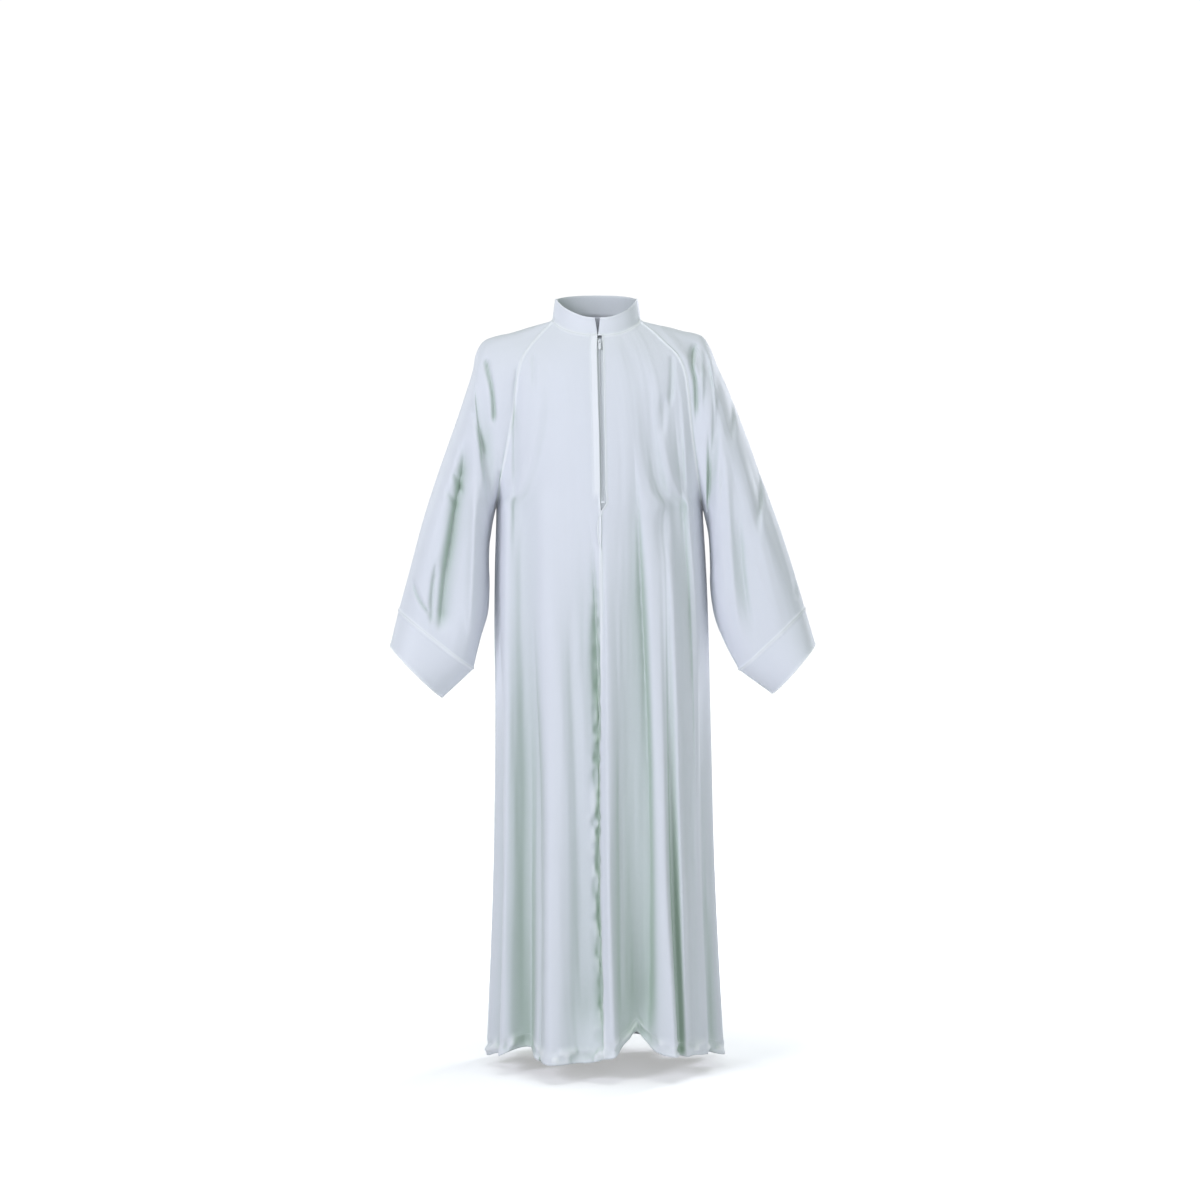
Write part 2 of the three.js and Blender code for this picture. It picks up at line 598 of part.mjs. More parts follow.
// A piece of cloth: a grid of points, whose columns close into a tube where `tube` is true.
// `core` is a point inside the garment that the outer side faces sideways from.
class Cloth {
  constructor(name, grid, { tube = false, core, material = WHITE_CLOTH } = {}) {
    this.name = name;
    this.grid = grid;
    this.tube = tube;
    this.material = material;
    this.rows = grid.length;
    this.columns = grid[0].length;
    this.flipped = false;
    const corners = this.quad(Math.floor(this.rows / 2), Math.floor(this.columns / 2));
    const points = corners.map(([row, column]) => grid[row][column]);
    const normal = points[2].clone().sub(points[0]).cross(points[3].clone().sub(points[1]));
    const sideways = points[0].clone().sub(core).setZ(0);
    this.flipped = normal.dot(sideways) < 0;
  }

  quad(row, column) {
    const next = (column + 1) % this.columns;
    const corners = [
      [row, column],
      [row, next],
      [row + 1, next],
      [row + 1, column],
    ];
    return this.flipped ? corners.reverse() : corners;
  }

  quads() {
    const all = [];
    const across = this.tube ? this.columns : this.columns - 1;
    for (let row = 0; row < this.rows - 1; row++) {
      for (let column = 0; column < across; column++) all.push(this.quad(row, column));
    }
    return all;
  }

  addNormals(normals) {
    for (const corners of this.quads()) {
      normals.addFace(corners.map(([row, column]) => this.grid[row][column]));
    }
  }

  // Orders two neighbours on an edge, so that both pieces at a seam split its rim one way.
  height([row, column]) {
    const point = this.grid[row][column];
    return point.z + LEVEL_TILT * point.x;
  }

  // A point drawn back from the piece's edges by half a seam gap.
  drawnBack(row, column) {
    const point = this.grid[row][column].clone();
    const towards = (otherRow, otherColumn) => {
      const step = this.grid[otherRow][otherColumn].clone().sub(this.grid[row][column]);
      point.add(step.setLength(SEAM_GAP / 2));
    };
    if (row === 0) towards(1, column);
    if (row === this.rows - 1) towards(row - 1, column);
    if (!this.tube && column === 0) towards(row, 1);
    if (!this.tube && column === this.columns - 1) towards(row, column - 1);
    return point;
  }

  // The closed wall: its outer skin `proud` of the grid, its inner skin `wall` behind that.
  mesh(normals, wall, proud) {
    const positions = [];
    const addSkin = (offset) => {
      for (let row = 0; row < this.rows; row++) {
        for (let column = 0; column < this.columns; column++) {
          const point = this.drawnBack(row, column);
          point.addScaledVector(normals.at(this.grid[row][column]), offset);
          positions.push(point.x, point.y, point.z);
        }
      }
    };
    addSkin(proud);
    addSkin(proud - wall);
    const skinSize = this.rows * this.columns;
    const outer = ([row, column]) => row * this.columns + column;
    const inner = (corner) => outer(corner) + skinSize;
    const faces = [];
    const uses = new Map();
    const addQuad = (a, b, c, d) => faces.push(a, b, c, a, c, d);
    for (const corners of this.quads()) {
      addQuad(...corners.map(outer));
      addQuad(...corners.map(inner).reverse());
      corners.forEach((corner, i) => {
        const next = corners[(i + 1) % 4];
        const edge = [outer(corner), outer(next)].sort((a, b) => a - b).join();
        if (uses.has(edge)) uses.delete(edge);
        else uses.set(edge, [corner, next]);
      });
    }
    for (const [from, to] of uses.values()) {
      const rim = [outer(to), outer(from), inner(from), inner(to)];
      const rising = this.height(from) < this.height(to);
      addQuad(...(rising ? [...rim.slice(1), rim[0]] : rim));
    }
    const geometry = new THREE.BufferGeometry();
    geometry.setAttribute("position", new THREE.Float32BufferAttribute(positions, 3));
    geometry.setIndex(faces);
    geometry.computeVertexNormals();
    const made = new THREE.Mesh(geometry, this.material);
    made.name = this.name;
    return made;
  }
}

// The point a distance along a row of points, or before its start where the distance is negative.
function alongRow(points, distance) {
  let left = distance;
  let i = 0;
  while (i < points.length - 2 && left > points[i].distanceTo(points[i + 1])) {
    left -= points[i].distanceTo(points[i + 1]);
    i++;
  }
  const step = points[i + 1].clone().sub(points[i]).setLength(1);
  return points[i].clone().addScaledVector(step, left);
}

// A zip tape's points, made from the front panel it is sewn behind.
function tapeGrid(panel, otherPanel) {
  const grid = [];
  const tapeRow = (row) => {
    const half = Math.abs(otherPanel[row][0].x - panel[row][0].x) / 2;
    const steps = [-half, TAPE_HIDDEN / 3, (2 * TAPE_HIDDEN) / 3, TAPE_HIDDEN];
    return steps.map((distance) => alongRow(panel[row], distance));
  };
  for (let row = UNDERARM_ROW - 1; row <= BODY_ROWS; row++) grid.push(tapeRow(row));
  const top = grid[grid.length - 1];
  const below = grid[grid.length - 2];
  top.forEach((point, i) => point.lerpVectors(below[i], point.clone(), TAPE_TOP_SHARE));
  return grid;
}

// The middle of the zip at a height, lying on the tapes, and the lean of the zip there.
function zipSeat(leftTape, rightTape, z) {
  let row = 0;
  while (row < leftTape.length - 2 && z > leftTape[row + 1][0].z) row++;
  const low = leftTape[row][0].clone().add(rightTape[row][0]).multiplyScalar(0.5);
  const high = leftTape[row + 1][0].clone().add(rightTape[row + 1][0]).multiplyScalar(0.5);
  const lean = Math.atan2(high.y - low.y, high.z - low.z);
  const depth = CLOTH_WALL + TAPE_GAP;
  const seat = low.lerp(high, (z - low.z) / (high.z - low.z));
  seat.y += depth * Math.cos(lean);
  seat.z -= depth * Math.sin(lean);
  return { seat, lean };
}

const wasm = await Module();
wasm.setup();

// Joins closed geometries into one.
function joined(...geometries) {
  const solids = geometries.map((geometry) => {
    const bare = geometry.clone();
    bare.deleteAttribute("normal");
    bare.deleteAttribute("uv");
    const merged = mergeVertices(bare, MERGE_DISTANCE);
    const mesh = new wasm.Mesh({
      numProp: 3,
      vertProperties: merged.attributes.position.array,
      triVerts: new Uint32Array(merged.index.array),
    });
    return new wasm.Manifold(mesh);
  });
  const made = solids.reduce((whole, solid) => whole.add(solid)).getMesh();
  const geometry = new THREE.BufferGeometry();
  geometry.setAttribute("position", new THREE.BufferAttribute(made.vertProperties, 3));
  geometry.setIndex(new THREE.BufferAttribute(made.triVerts, 1));
  return geometry;
}

// On the zip, x runs across it, -y away from the wearer and z up along it. This turns a
// flat shape drawn in x and z into a plate whose back is `lift` off the zip.
function plate(shape, thick, lift) {
  const geometry = new THREE.ExtrudeGeometry(shape, { depth: thick, bevelEnabled: false });
  return geometry.rotateX(Math.PI / 2).translate(0, -lift, 0);
}

function shapeOf(corners) {
  return new THREE.Shape(corners.map(([x, y]) => new THREE.Vector2(x, y)));
}

// The slider: a shield-shaped body and the bridge that holds the pull tab.
function sliderGeometry() {
  const end = SLIDER.length / 2;
  const right = [
    [SLIDER.foot, -end],
    [SLIDER.waist, -end + SLIDER_CORNER.foot],
    [SLIDER.shoulder, end - SLIDER_CORNER.top],
    [SLIDER.top, end],
  ];
  const left = right.map(([x, z]) => [-x, z]).reverse();
  const body = plate(shapeOf([...right, ...left]), SLIDER.thick, SEAT_GAP);
  const half = BRIDGE.inside / 2;
  const reach = half + BRIDGE.wall;
  const height = BRIDGE.lift + BRIDGE.wall;
  const arch = shapeOf([
    [-reach, -BRIDGE.sunk],
    [-half, -BRIDGE.sunk],
    [-half, BRIDGE.lift],
    [half, BRIDGE.lift],
    [half, -BRIDGE.sunk],
    [reach, -BRIDGE.sunk],
    [reach, height - BRIDGE.corner],
    [reach - BRIDGE.corner, height],
    [BRIDGE.corner - reach, height],
    [-reach, height - BRIDGE.corner],
  ]);
  const bridge = new THREE.ExtrudeGeometry(arch, { depth: BRIDGE.width, bevelEnabled: false });
  const turned = new THREE.Matrix4().makeBasis(
    new THREE.Vector3(0, 0, 1),
    new THREE.Vector3(0, -1, 0),
    new THREE.Vector3(1, 0, 0),
  );
  bridge.translate(0, 0, -BRIDGE.width / 2).applyMatrix4(turned);
  bridge.translate(0, -(SEAT_GAP + SLIDER.thick), 0);
  return joined(body, bridge);
}

// The pull tab: a flat tongue with an eye round the bridge. Its pivot is its local origin.
function pullTabGeometry() {
  const half = PULL_TAB.width / 2;
  const top = PULL_TAB.rail / 2;
  const foot = top - PULL_TAB.length;
  const tongue = shapeOf([
    [half, top],
    [-half, top],
    [-half, foot + PULL_TAB.corner],
    [-half + PULL_TAB.corner, foot],
    [half - PULL_TAB.corner, foot],
    [half, foot + PULL_TAB.corner],
  ]);
  const inside = half - PULL_TAB.rail;
  const eye = shapeOf([
    [-inside, -top],
    [inside, -top],
    [inside, -top - PULL_TAB.eye],
    [-inside, -top - PULL_TAB.eye],
  ]);
  tongue.holes.push(eye);
  return plate(tongue, PULL_TAB.thick, -PULL_TAB.thick / 2);
}

function zipMesh(name, geometry, { seat, lean }, lift = 0) {
  const mesh = new THREE.Mesh(geometry, ZIP_METAL);
  mesh.name = name;
  mesh.position.copy(seat);
  mesh.rotation.x = -lean;
  mesh.translateY(-lift);
  return mesh;
}

const alb = new THREE.Group();

const bodyCore = new THREE.Vector3(0, 0, 0);
const frontLeft = frontGrid("left");
const frontRight = frontGrid("right");
const back = backGrid();
const sleeves = { left: sleeveGrid("left"), right: sleeveGrid("right") };
const middleOf = (ring) => {
  const sum = ring.reduce((total, point) => total.add(point), new THREE.Vector3());
  return sum.divideScalar(ring.length);
};

const cloths = [
  new Cloth("front_left", frontLeft, { core: bodyCore }),
  new Cloth("front_right", frontRight, { core: bodyCore }),
  new Cloth("back", back, { core: bodyCore }),
];
for (const side of ["left", "right"]) {
  const sleeve = sleeves[side];
  const core = middleOf(sleeve[Math.floor(SLEEVE_RINGS / 2)]);
  cloths.push(new Cloth(`sleeve_${side}`, sleeve, { tube: true, core }));
}
const bands = [];
for (const side of ["left", "right"]) {
  const cuff = cuffGrid(side, sleeves[side][SLEEVE_RINGS - 1]);
  const core = middleOf(cuff[1]);
  bands.push(new Cloth(`cuff_${side}`, cuff, { tube: true, core, material: BAND_CLOTH }));
}
const collar = collarGrid(neckLoop(frontLeft, back, frontRight));
bands.push(new Cloth("collar", collar, { core: bodyCore, material: BAND_CLOTH }));

const normals = new SharedNormals();
for (const piece of [...cloths, ...bands]) piece.addNormals(normals);
for (const piece of cloths) alb.add(piece.mesh(normals, CLOTH_WALL, 0));
for (const piece of bands) alb.add(piece.mesh(normals, BAND_WALL, BAND_PROUD));

const tapes = {
  left: tapeGrid(frontLeft, frontRight),
  right: tapeGrid(frontRight, frontLeft),
};
for (const side of ["left", "right"]) {
  const tape = new Cloth(`zip_tape_${side}`, tapes[side], { core: bodyCore, material: TAPE_CLOTH });
  const tapeNormals = new SharedNormals();
  tape.addNormals(tapeNormals);
  alb.add(tape.mesh(tapeNormals, TAPE_WALL, -CLOTH_WALL - TAPE_GAP));
}

const sliderSeat = zipSeat(tapes.left, tapes.right, SLIDER.z);
const pivotLift = SEAT_GAP + SLIDER.thick + BRIDGE.lift / 2;
alb.add(zipMesh("zip_slider", sliderGeometry(), sliderSeat));
alb.add(zipMesh("zip_pull_tab", pullTabGeometry(), sliderSeat, pivotLift));

const stopShape = shapeOf([
  [-STOP.width / 2, -STOP.length / 2],
  [STOP.width / 2, -STOP.length / 2],
  [STOP.width / 2, STOP.length / 2],
  [-STOP.width / 2, STOP.length / 2],
]);
const stopSeat = zipSeat(tapes.left, tapes.right, STOP.z);
alb.add(zipMesh("zip_stop", plate(stopShape, STOP.thick, SEAT_GAP), stopSeat));

export default alb;
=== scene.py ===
import math

import bmesh
import bpy
import numpy as np
from bpy.props import FloatProperty, FloatVectorProperty, PointerProperty
from mathutils import Matrix, Vector


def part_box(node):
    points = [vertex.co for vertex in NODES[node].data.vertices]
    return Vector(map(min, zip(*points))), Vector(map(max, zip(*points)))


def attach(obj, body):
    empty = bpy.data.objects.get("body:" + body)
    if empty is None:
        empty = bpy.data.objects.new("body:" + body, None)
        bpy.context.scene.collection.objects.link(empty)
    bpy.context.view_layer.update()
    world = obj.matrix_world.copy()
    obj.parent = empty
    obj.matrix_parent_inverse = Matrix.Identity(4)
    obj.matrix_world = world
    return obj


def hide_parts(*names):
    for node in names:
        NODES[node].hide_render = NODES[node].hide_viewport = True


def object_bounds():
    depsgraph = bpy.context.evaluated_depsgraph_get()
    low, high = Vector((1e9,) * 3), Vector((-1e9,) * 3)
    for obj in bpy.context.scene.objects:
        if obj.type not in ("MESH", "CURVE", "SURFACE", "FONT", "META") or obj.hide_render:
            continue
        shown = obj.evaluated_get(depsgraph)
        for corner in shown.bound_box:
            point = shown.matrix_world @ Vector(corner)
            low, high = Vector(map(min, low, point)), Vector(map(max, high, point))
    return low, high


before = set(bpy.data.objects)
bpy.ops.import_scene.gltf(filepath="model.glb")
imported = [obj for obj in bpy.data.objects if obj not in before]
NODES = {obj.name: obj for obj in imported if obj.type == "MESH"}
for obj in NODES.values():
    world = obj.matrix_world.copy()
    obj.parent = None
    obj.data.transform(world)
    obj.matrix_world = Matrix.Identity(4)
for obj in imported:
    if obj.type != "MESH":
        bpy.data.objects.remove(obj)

bl_info = {
    "name": "Alb",
    "version": (1, 0, 0),
    "blender": (4, 5, 0),
    "location": "View3D > Sidebar > Alb",
    "description": "Builds a long white alb as worn: its cloth, seams, hems and zip",
    "category": "Add Mesh",
}

# The frame: metres, +Z up, the front faces -Y. Left and right are those of someone who
# faces the front.
CAD_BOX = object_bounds()
MM = 0.001

# Reading a wall of cloth: its points are merged, and its rungs run through the wall
MERGE = 2e-5
RUNG_SLACK = 1.4

# Kinds of cloth: is it a tube, the step between its columns and between its rows. The panels
# hang down to the hem.
PIECES = {
    "front": (False, 0.0018, 0.0055),
    "back": (False, 0.0025, 0.0070),
    "sleeve": (True, 0.0036, 0.0045),
    "cuff": (True, 0.0036, 0.0026),
    "collar": (False, 0.0030, 0.0020),
    "zip_tape": (False, 0.0011, 0.0030),
}
PANELS = ("front_left", "front_right", "back")

# How much closer the rows lie near a piece's base and top, and the columns near its sides
ROW_CROWDING = 0.4
COLUMN_CROWDING = 0.35

# Cut sheets: width and length, flat area in square metres, and what each is sewn to
SHEETS = {
    "front_left": (0.440, 1.545, 0.453, ("back", "sleeve_left", "collar")),
    "front_right": (0.480, 1.545, 0.470, ("back", "sleeve_right", "collar")),
    "back": (0.870, 1.550, 0.855, ("front_left", "front_right")),
    "sleeve_left": (0.620, 0.715, 0.277, ("front_left", "back")),
    "sleeve_right": (0.620, 0.715, 0.268, ("front_right", "back")),
    "cuff_left": (0.525, 0.085, 0.037, ("sleeve_left",)),
    "cuff_right": (0.510, 0.083, 0.035, ("sleeve_right",)),
    "collar": (0.520, 0.045, 0.020, ("front_left", "front_right", "back")),
    "zip_tape_left": (0.016, 0.380, 0.0058, ("front_left",)),
    "zip_tape_right": (0.016, 0.380, 0.0058, ("front_right",)),
}

# Creases as soft ridges and troughs. Columns: the piece or pieces that each crosses, its height,
# its width on the left and on the right, how rounded it is (1 sharp, 2 round), the shares of
# its length over which it rises and dies out, and its line from the top down as x and z. Sizes
# are in mm, on the upright plane through the garment's middle, as the stage's camera sees it
# from the front or from behind.
FRONT_CREASES = (
    # Left side's crest
    (("front", "sleeve_left"), 8, 6, 26, 2, 0.15, 0.2,
     ((-197, -190), (-191, -280), (-185, -400), (-185, -560), (-189, -720), (-197, -880),
      (-201, -1060), (-203, -1260), (-209, -1460))),
    # Valley beside it
    (("front", "sleeve_left"), -5, 5, 9, 2, 0.1, 0.4,
     ((-159, -84), (-165, -130), (-167, -220), (-167, -360), (-169, -500))),
    # Short valley under the seam
    ("front", -3, 5, 6, 2, 0.2, 0.5,
     ((-131, -58), (-129, -110), (-131, -164))),
    # Recess before the left overlap
    ("front", -34, 34, 5, 1, 0.4, 0,
     ((-131, -560), (-123, -760), (-117, -920), (-115, -1120), (-115, -1280), (-115, -1496))),
    # Left ridge of the chest
    ("front", 5, 18, 26, 2, 0.4, 0.4,
     ((-117, -180), (-115, -400), (-113, -600), (-107, -800))),
    # Recess left of the seam
    ("front", -34, 46, 5, 1, 0.35, 0.1,
     ((-21, -360), (-11, -480), (-3, -640), (1, -800), (3, -960), (3, -1120), (5, -1280), (9, -1480))),
    # Shade left of it
    ("front", -6, 12, 16, 2, 0.3, 0.3,
     ((-65, -480), (-59, -640), (-51, -800), (-43, -1000), (-39, -1200), (-39, -1420))),
    # Ridge on the seam's right
    ("front", 4, 3, 10, 2, 0.2, 0.1,
     ((13, -400), (15, -640), (15, -880), (17, -1120), (21, -1320), (25, -1460))),
    # Recess before the right ridge
    ("front", -24, 40, 6, 1, 0.3, 0.1,
     ((69, -220), (77, -360), (85, -520), (93, -680), (99, -840), (103, -1000), (105, -1160),
      (105, -1320), (101, -1460))),
    # Shallow groove in it
    ("front", -5, 5, 6, 2, 0.4, 0.2,
     ((41, -800), (41, -1000), (43, -1200), (45, -1420))),
    # Right wide ridge
    ("front", 36, 18, 12, 2, 0.3, 0,
     ((131, -240), (141, -400), (149, -560), (155, -760), (159, -960), (165, -1160), (171, -1360),
      (175, -1484))),
    # Right break of the chest
    ("front", -5, 12, 8, 2, 0.3, 0.4,
     ((131, -144), (129, -190), (125, -250))),
    # Short groove under the seam
    (("front", "sleeve_right"), -4, 5, 5, 2, 0.1, 0.3,
     ((147, -68), (147, -120), (143, -184))),
    # Right valley
    ("front", -7, 9, 5, 1, 0.25, 0.35,
     ((149, -152), (157, -240), (165, -340), (175, -480), (183, -640), (189, -800), (191, -960),
      (193, -1100))),
    # Right sharp crest
    (("front", "sleeve_right"), 7, 5, 11, 2, 0.2, 0.5,
     ((151, -72), (163, -130), (171, -220), (179, -360), (189, -480), (199, -640), (203, -760),
      (207, -880), (211, -1000), (217, -1160), (221, -1280))),
    # Right side's hollow
    ("front", -10, 15, 14, 2, 0.4, 0,
     ((191, -1040), (207, -1200), (215, -1360), (219, -1480))),
    # Left sleeve's deep crease
    ("sleeve_left", -10, 4, 4, 2, 0.15, 0.2,
     ((-227, -70), (-221, -100), (-213, -136), (-209, -180), (-209, -216))),
    # Left sleeve, under the shoulder
    ("sleeve_left", -4, 4, 6, 2, 0.3, 0.3,
     ((-257, -156), (-247, -200), (-237, -240), (-225, -284))),
    # Left sleeve's valley
    ("sleeve_left", -18, 8, 18, 1.4, 0.2, 0.12,
     ((-265, -232), (-273, -300), (-285, -360), (-297, -440), (-309, -520), (-315, -580),
      (-317, -632))),
    # Its left arm
    ("sleeve_left", -8, 4, 10, 1.4, 0.3, 0.2,
     ((-323, -472), (-333, -540), (-335, -616))),
    # Left sleeve's first drag
    ("sleeve_left", -5, 3, 6, 2, 0.3, 0.4,
     ((-293, -300), (-281, -328), (-269, -356))),
    # Left sleeve's second drag
    ("sleeve_left", -5, 3, 6, 2, 0.3, 0.4,
     ((-307, -334), (-295, -356), (-281, -380))),
    # Left sleeve's crease by the cuff
    ("sleeve_left", -6, 3, 4, 2, 0.3, 0.2,
     ((-373, -512), (-365, -544), (-353, -568), (-335, -590))),
    # Left sleeve's inner ridge
    ("sleeve_left", 14, 11, 12, 2, 0.3, 0.2,
     ((-241, -300), (-249, -480), (-255, -660))),
    # Right sleeve's deep crease
    ("sleeve_right", -11, 5, 4, 1.5, 0.15, 0.3,
     ((197, -40), (189, -64), (187, -90), (193, -120), (195, -160), (195, -216))),
    # Thin ridge beside it
    ("sleeve_right", 4, 3, 4, 2, 0.2, 0.3,
     ((205, -46), (207, -88), (207, -130), (205, -180))),
    # Right sleeve's inner groove
    ("sleeve_right", -9, 4, 5, 2, 0.3, 0.3,
     ((221, -200), (221, -260), (221, -320), (219, -400), (219, -500))),
    # Right sleeve, upper hollow
    ("sleeve_right", -10, 10, 5, 1.4, 0.2, 0.4,
     ((255, -104), (265, -150), (269, -200), (267, -256))),
    # Right sleeve, faint hollow
    ("sleeve_right", -3, 4, 5, 2, 0.3, 0.4,
     ((245, -264), (245, -320), (247, -364))),
    # Right sleeve, elbow hollow
    ("sleeve_right", -11, 14, 5, 1.4, 0.25, 0.4,
     ((311, -246), (319, -300), (325, -350), (321, -400), (319, -450))),
    # Right sleeve, crease by the cuff
    ("sleeve_right", -5, 6, 4, 2, 0.3, 0.3,
     ((391, -500), (393, -536), (397, -566))),
    # Right sleeve, long hollow
    ("sleeve_right", -6, 10, 6, 1.5, 0.4, 0.3,
     ((279, -360), (287, -480), (299, -580), (313, -640))),
    # Right sleeve, long ridge
    ("sleeve_right", 5, 8, 8, 2, 0.3, 0.3,
     ((255, -240), (261, -400), (273, -560), (287, -660))),
)
BACK_CREASES = (
    # Under the raglan seams
    ("back", -6, 9, 11, 2, 0.2, 0.5, ((-128, -140), (-134, -300), (-142, -540))),
    ("back", -6, 10, 8, 2, 0.2, 0.5, ((133, -130), (141, -280), (150, -470))),
    # Long folds from left to right
    ("back", -12, 13, 17, 2, 0.4, 0, ((-152, -350), (-156, -700), (-160, -1100), (-166, -1500))),
    ("back", 8, 12, 16, 2, 0.35, 0, ((-112, -260), (-115, -700), (-117, -1100), (-118, -1500))),
    ("back", -15, 17, 13, 2, 0.4, 0, ((-70, -430), (-73, -800), (-76, -1150), (-79, -1500))),
    ("back", 7, 15, 12, 2, 0.3, 0.1, ((-32, -210), (-34, -640), (-33, -1000), (-30, -1480))),
    ("back", -11, 12, 16, 2, 0.35, 0.2, ((12, -530), (10, -900), (11, -1200), (15, -1480))),
    ("back", 9, 13, 17, 2, 0.4, 0, ((57, -300), (61, -700), (64, -1100), (67, -1500))),
    ("back", -16, 15, 12, 2, 0.35, 0, ((103, -250), (110, -640), (116, -1050), (121, -1500))),
    ("back", 8, 10, 14, 2, 0.4, 0.2, ((147, -370), (154, -760), (162, -1100), (168, -1460))),
    ("back", -9, 9, 12, 2, 0.4, 0, ((-195, -620), (-200, -900), (-204, -1200), (-206, -1500))),
    ("back", -10, 11, 9, 2, 0.4, 0, ((196, -560), (204, -900), (212, -1200), (220, -1500))),
    # Across the sleeves
    ("sleeve_left", -10, 5, 6, 2, 0.2, 0.3, ((-222, -80), (-214, -130), (-208, -200), (-207, -250))),
    ("sleeve_left", -9, 10, 12, 2, 0.3, 0.2,
     ((-262, -250), (-276, -400), (-290, -540), (-300, -660))),
    ("sleeve_left", -5, 5, 7, 2, 0.3, 0.4, ((-312, -340), (-330, -440), (-338, -560))),
    ("sleeve_left", -4, 4, 5, 2, 0.3, 0.4, ((-238, -330), (-250, -390), (-262, -470))),
    ("sleeve_right", -10, 6, 5, 2, 0.2, 0.3, ((204, -60), (197, -110), (195, -180), (198, -240))),
    ("sleeve_right", -9, 12, 9, 2, 0.3, 0.2, ((264, -260), (280, -400), (300, -540), (322, -640))),
    ("sleeve_right", -5, 7, 5, 2, 0.3, 0.4, ((318, -300), (340, -400), (362, -520))),
    ("sleeve_right", -4, 5, 4, 2, 0.3, 0.4, ((240, -300), (250, -380), (260, -460))),
)

# Points along a crease, how soon it ends before a sleeve's seams, and how sharply it ends
# where the cloth turns away
CREASE_POINTS = 28
CREASE_FADE = 0.035
CREASE_TURN = 1.1

# Streaks of the hanging cloth: their heights, spacings and lengths, where they fade beside
# seams, how much depth counts beside width, their slant on the sleeves, and their knots
STREAKS = ((0.0011, 0.034, 0.42), (0.0007, 0.017, 0.30), (0.00035, 0.009, 0.16))
STREAK_FADE = 0.045
STREAK_TURN = 0.7
SLEEVE_SLANT = 0.24
KNOTS = 64

# Placket and hem: how far they stand out, how much lighter they are, and over what height
# the placket ends at the zip
PLACKET_RISE = 0.0018
PLACKET_DOUBLED = 0.7
PLACKET_END = 0.02
HEM_RISE = 0.0008
HEM_DOUBLED = 0.3

# Collar and cuffs: the width of the collar's seam and the rise of their turned edges, as
# shares of the other seams, and up to where and how much the collar is lighter
COLLAR_SEAM = 0.8
COLLAR_TURN = 0.3
CUFF_TURN = 0.4
COLLAR_DOUBLED = (1.0, 0.25)

# Puckers: from the seam to their middle, their reach, height, spacing, the strength of the
# painted highlight on their crests and seed, and their depth as a share of the reach. The
# centre-front seam's start at a height and grow.
SEAM_PUCKERS = (0.016, 0.014, 2, 0.014, 0.6, 11)
HEM_PUCKERS = (0.014, 0.014, 2.6, 0.012, 1.0, 12)
PUCKER_DEPTH = 0.9
PUCKER_TOP = -0.45
PUCKER_GROWTH = 0.3

# Zip: where it ends, its tape's thickness, how far from the tape's edge its coils run, and
# the pitch, points a turn, half width, depth, lift in depths and wire of the coils
ZIP_FOOT = -0.368
TAPE_WALL = 0.0006
COIL_INSET = 0.0009
COIL_PITCH = 0.0016
COIL_STEPS = 8
COIL_WIDTH = 0.0008
COIL_DEPTH = 0.0006
COIL_LIFT = 1.1
COIL_WIRE = 0.00028

# Rounded edges, and the angle from which an edge is rounded
METAL_EDGE = 0.00018
METAL_SHARP = math.radians(35)
BAND_EDGE = 0.0006
BAND_SHARP = math.radians(60)

# Seams: the borders drawn to their neighbours with the reach of that, and how far in it is felt
MEET_FADE = 0.012
SEAMS = {
    "front_right": (("left", 0.005),),
    "back": (("left", 0.012), ("right", 0.012)),
    "sleeve": (("top", 0.012),),
    "cuff": (("top", 0.012),),
    "collar": (("base", 0.005),),
}

# Stitches: where the thread of each bends, as shares of its length, how far out it is there
# in radii, and how far inside the turned edges they run
STITCH_BENDS = (0, 0.2, 0.8, 1)
STITCH_RISES = (-1.2, 0.6, 0.6, -1.2)
HEM_INSET = 0.002
BAND_INSET = 0.0045
COLLAR_INSET = 0.005
PLACKET_INSET = 0.001

# Finishes: the width of a thread, the roughness and the sheen of each cloth, and the colour
# and roughness of the coils, the zip's metal and the thread
CLOTH_FINISH = (0.0006, 0.62, 0.2)
BAND_FINISH = (0.0006, 0.58, 0.2)
TAPE_FINISH = (0.0004, 0.8, 0.1)
COIL_FINISH = ((0.78, 0.80, 0.82), 0.4)
METAL_FINISH = ((0.80, 0.82, 0.84), 0.3)
THREAD_FINISH = ((0.86, 0.87, 0.89), 0.6)

# How dark the faint clouds in the colours are, as a share of the colour
CLOTH_CLOUDS = 0.965
PLAIN_CLOUDS = 0.93

# Painted shade: the cloth's colour is darkened and tinted green in its hollows, where the shade
# of its own folds falls: how far off a fold still counts, from which share of open air down to
# which the painted shade sets in, and its tint
PAINTED_SHADE_SPAN = 0.11
PAINTED_SHADE_RANGE = (0.45, 0.97)
PAINTED_SHADE_TINT = (0.54, 0.66, 0.52)
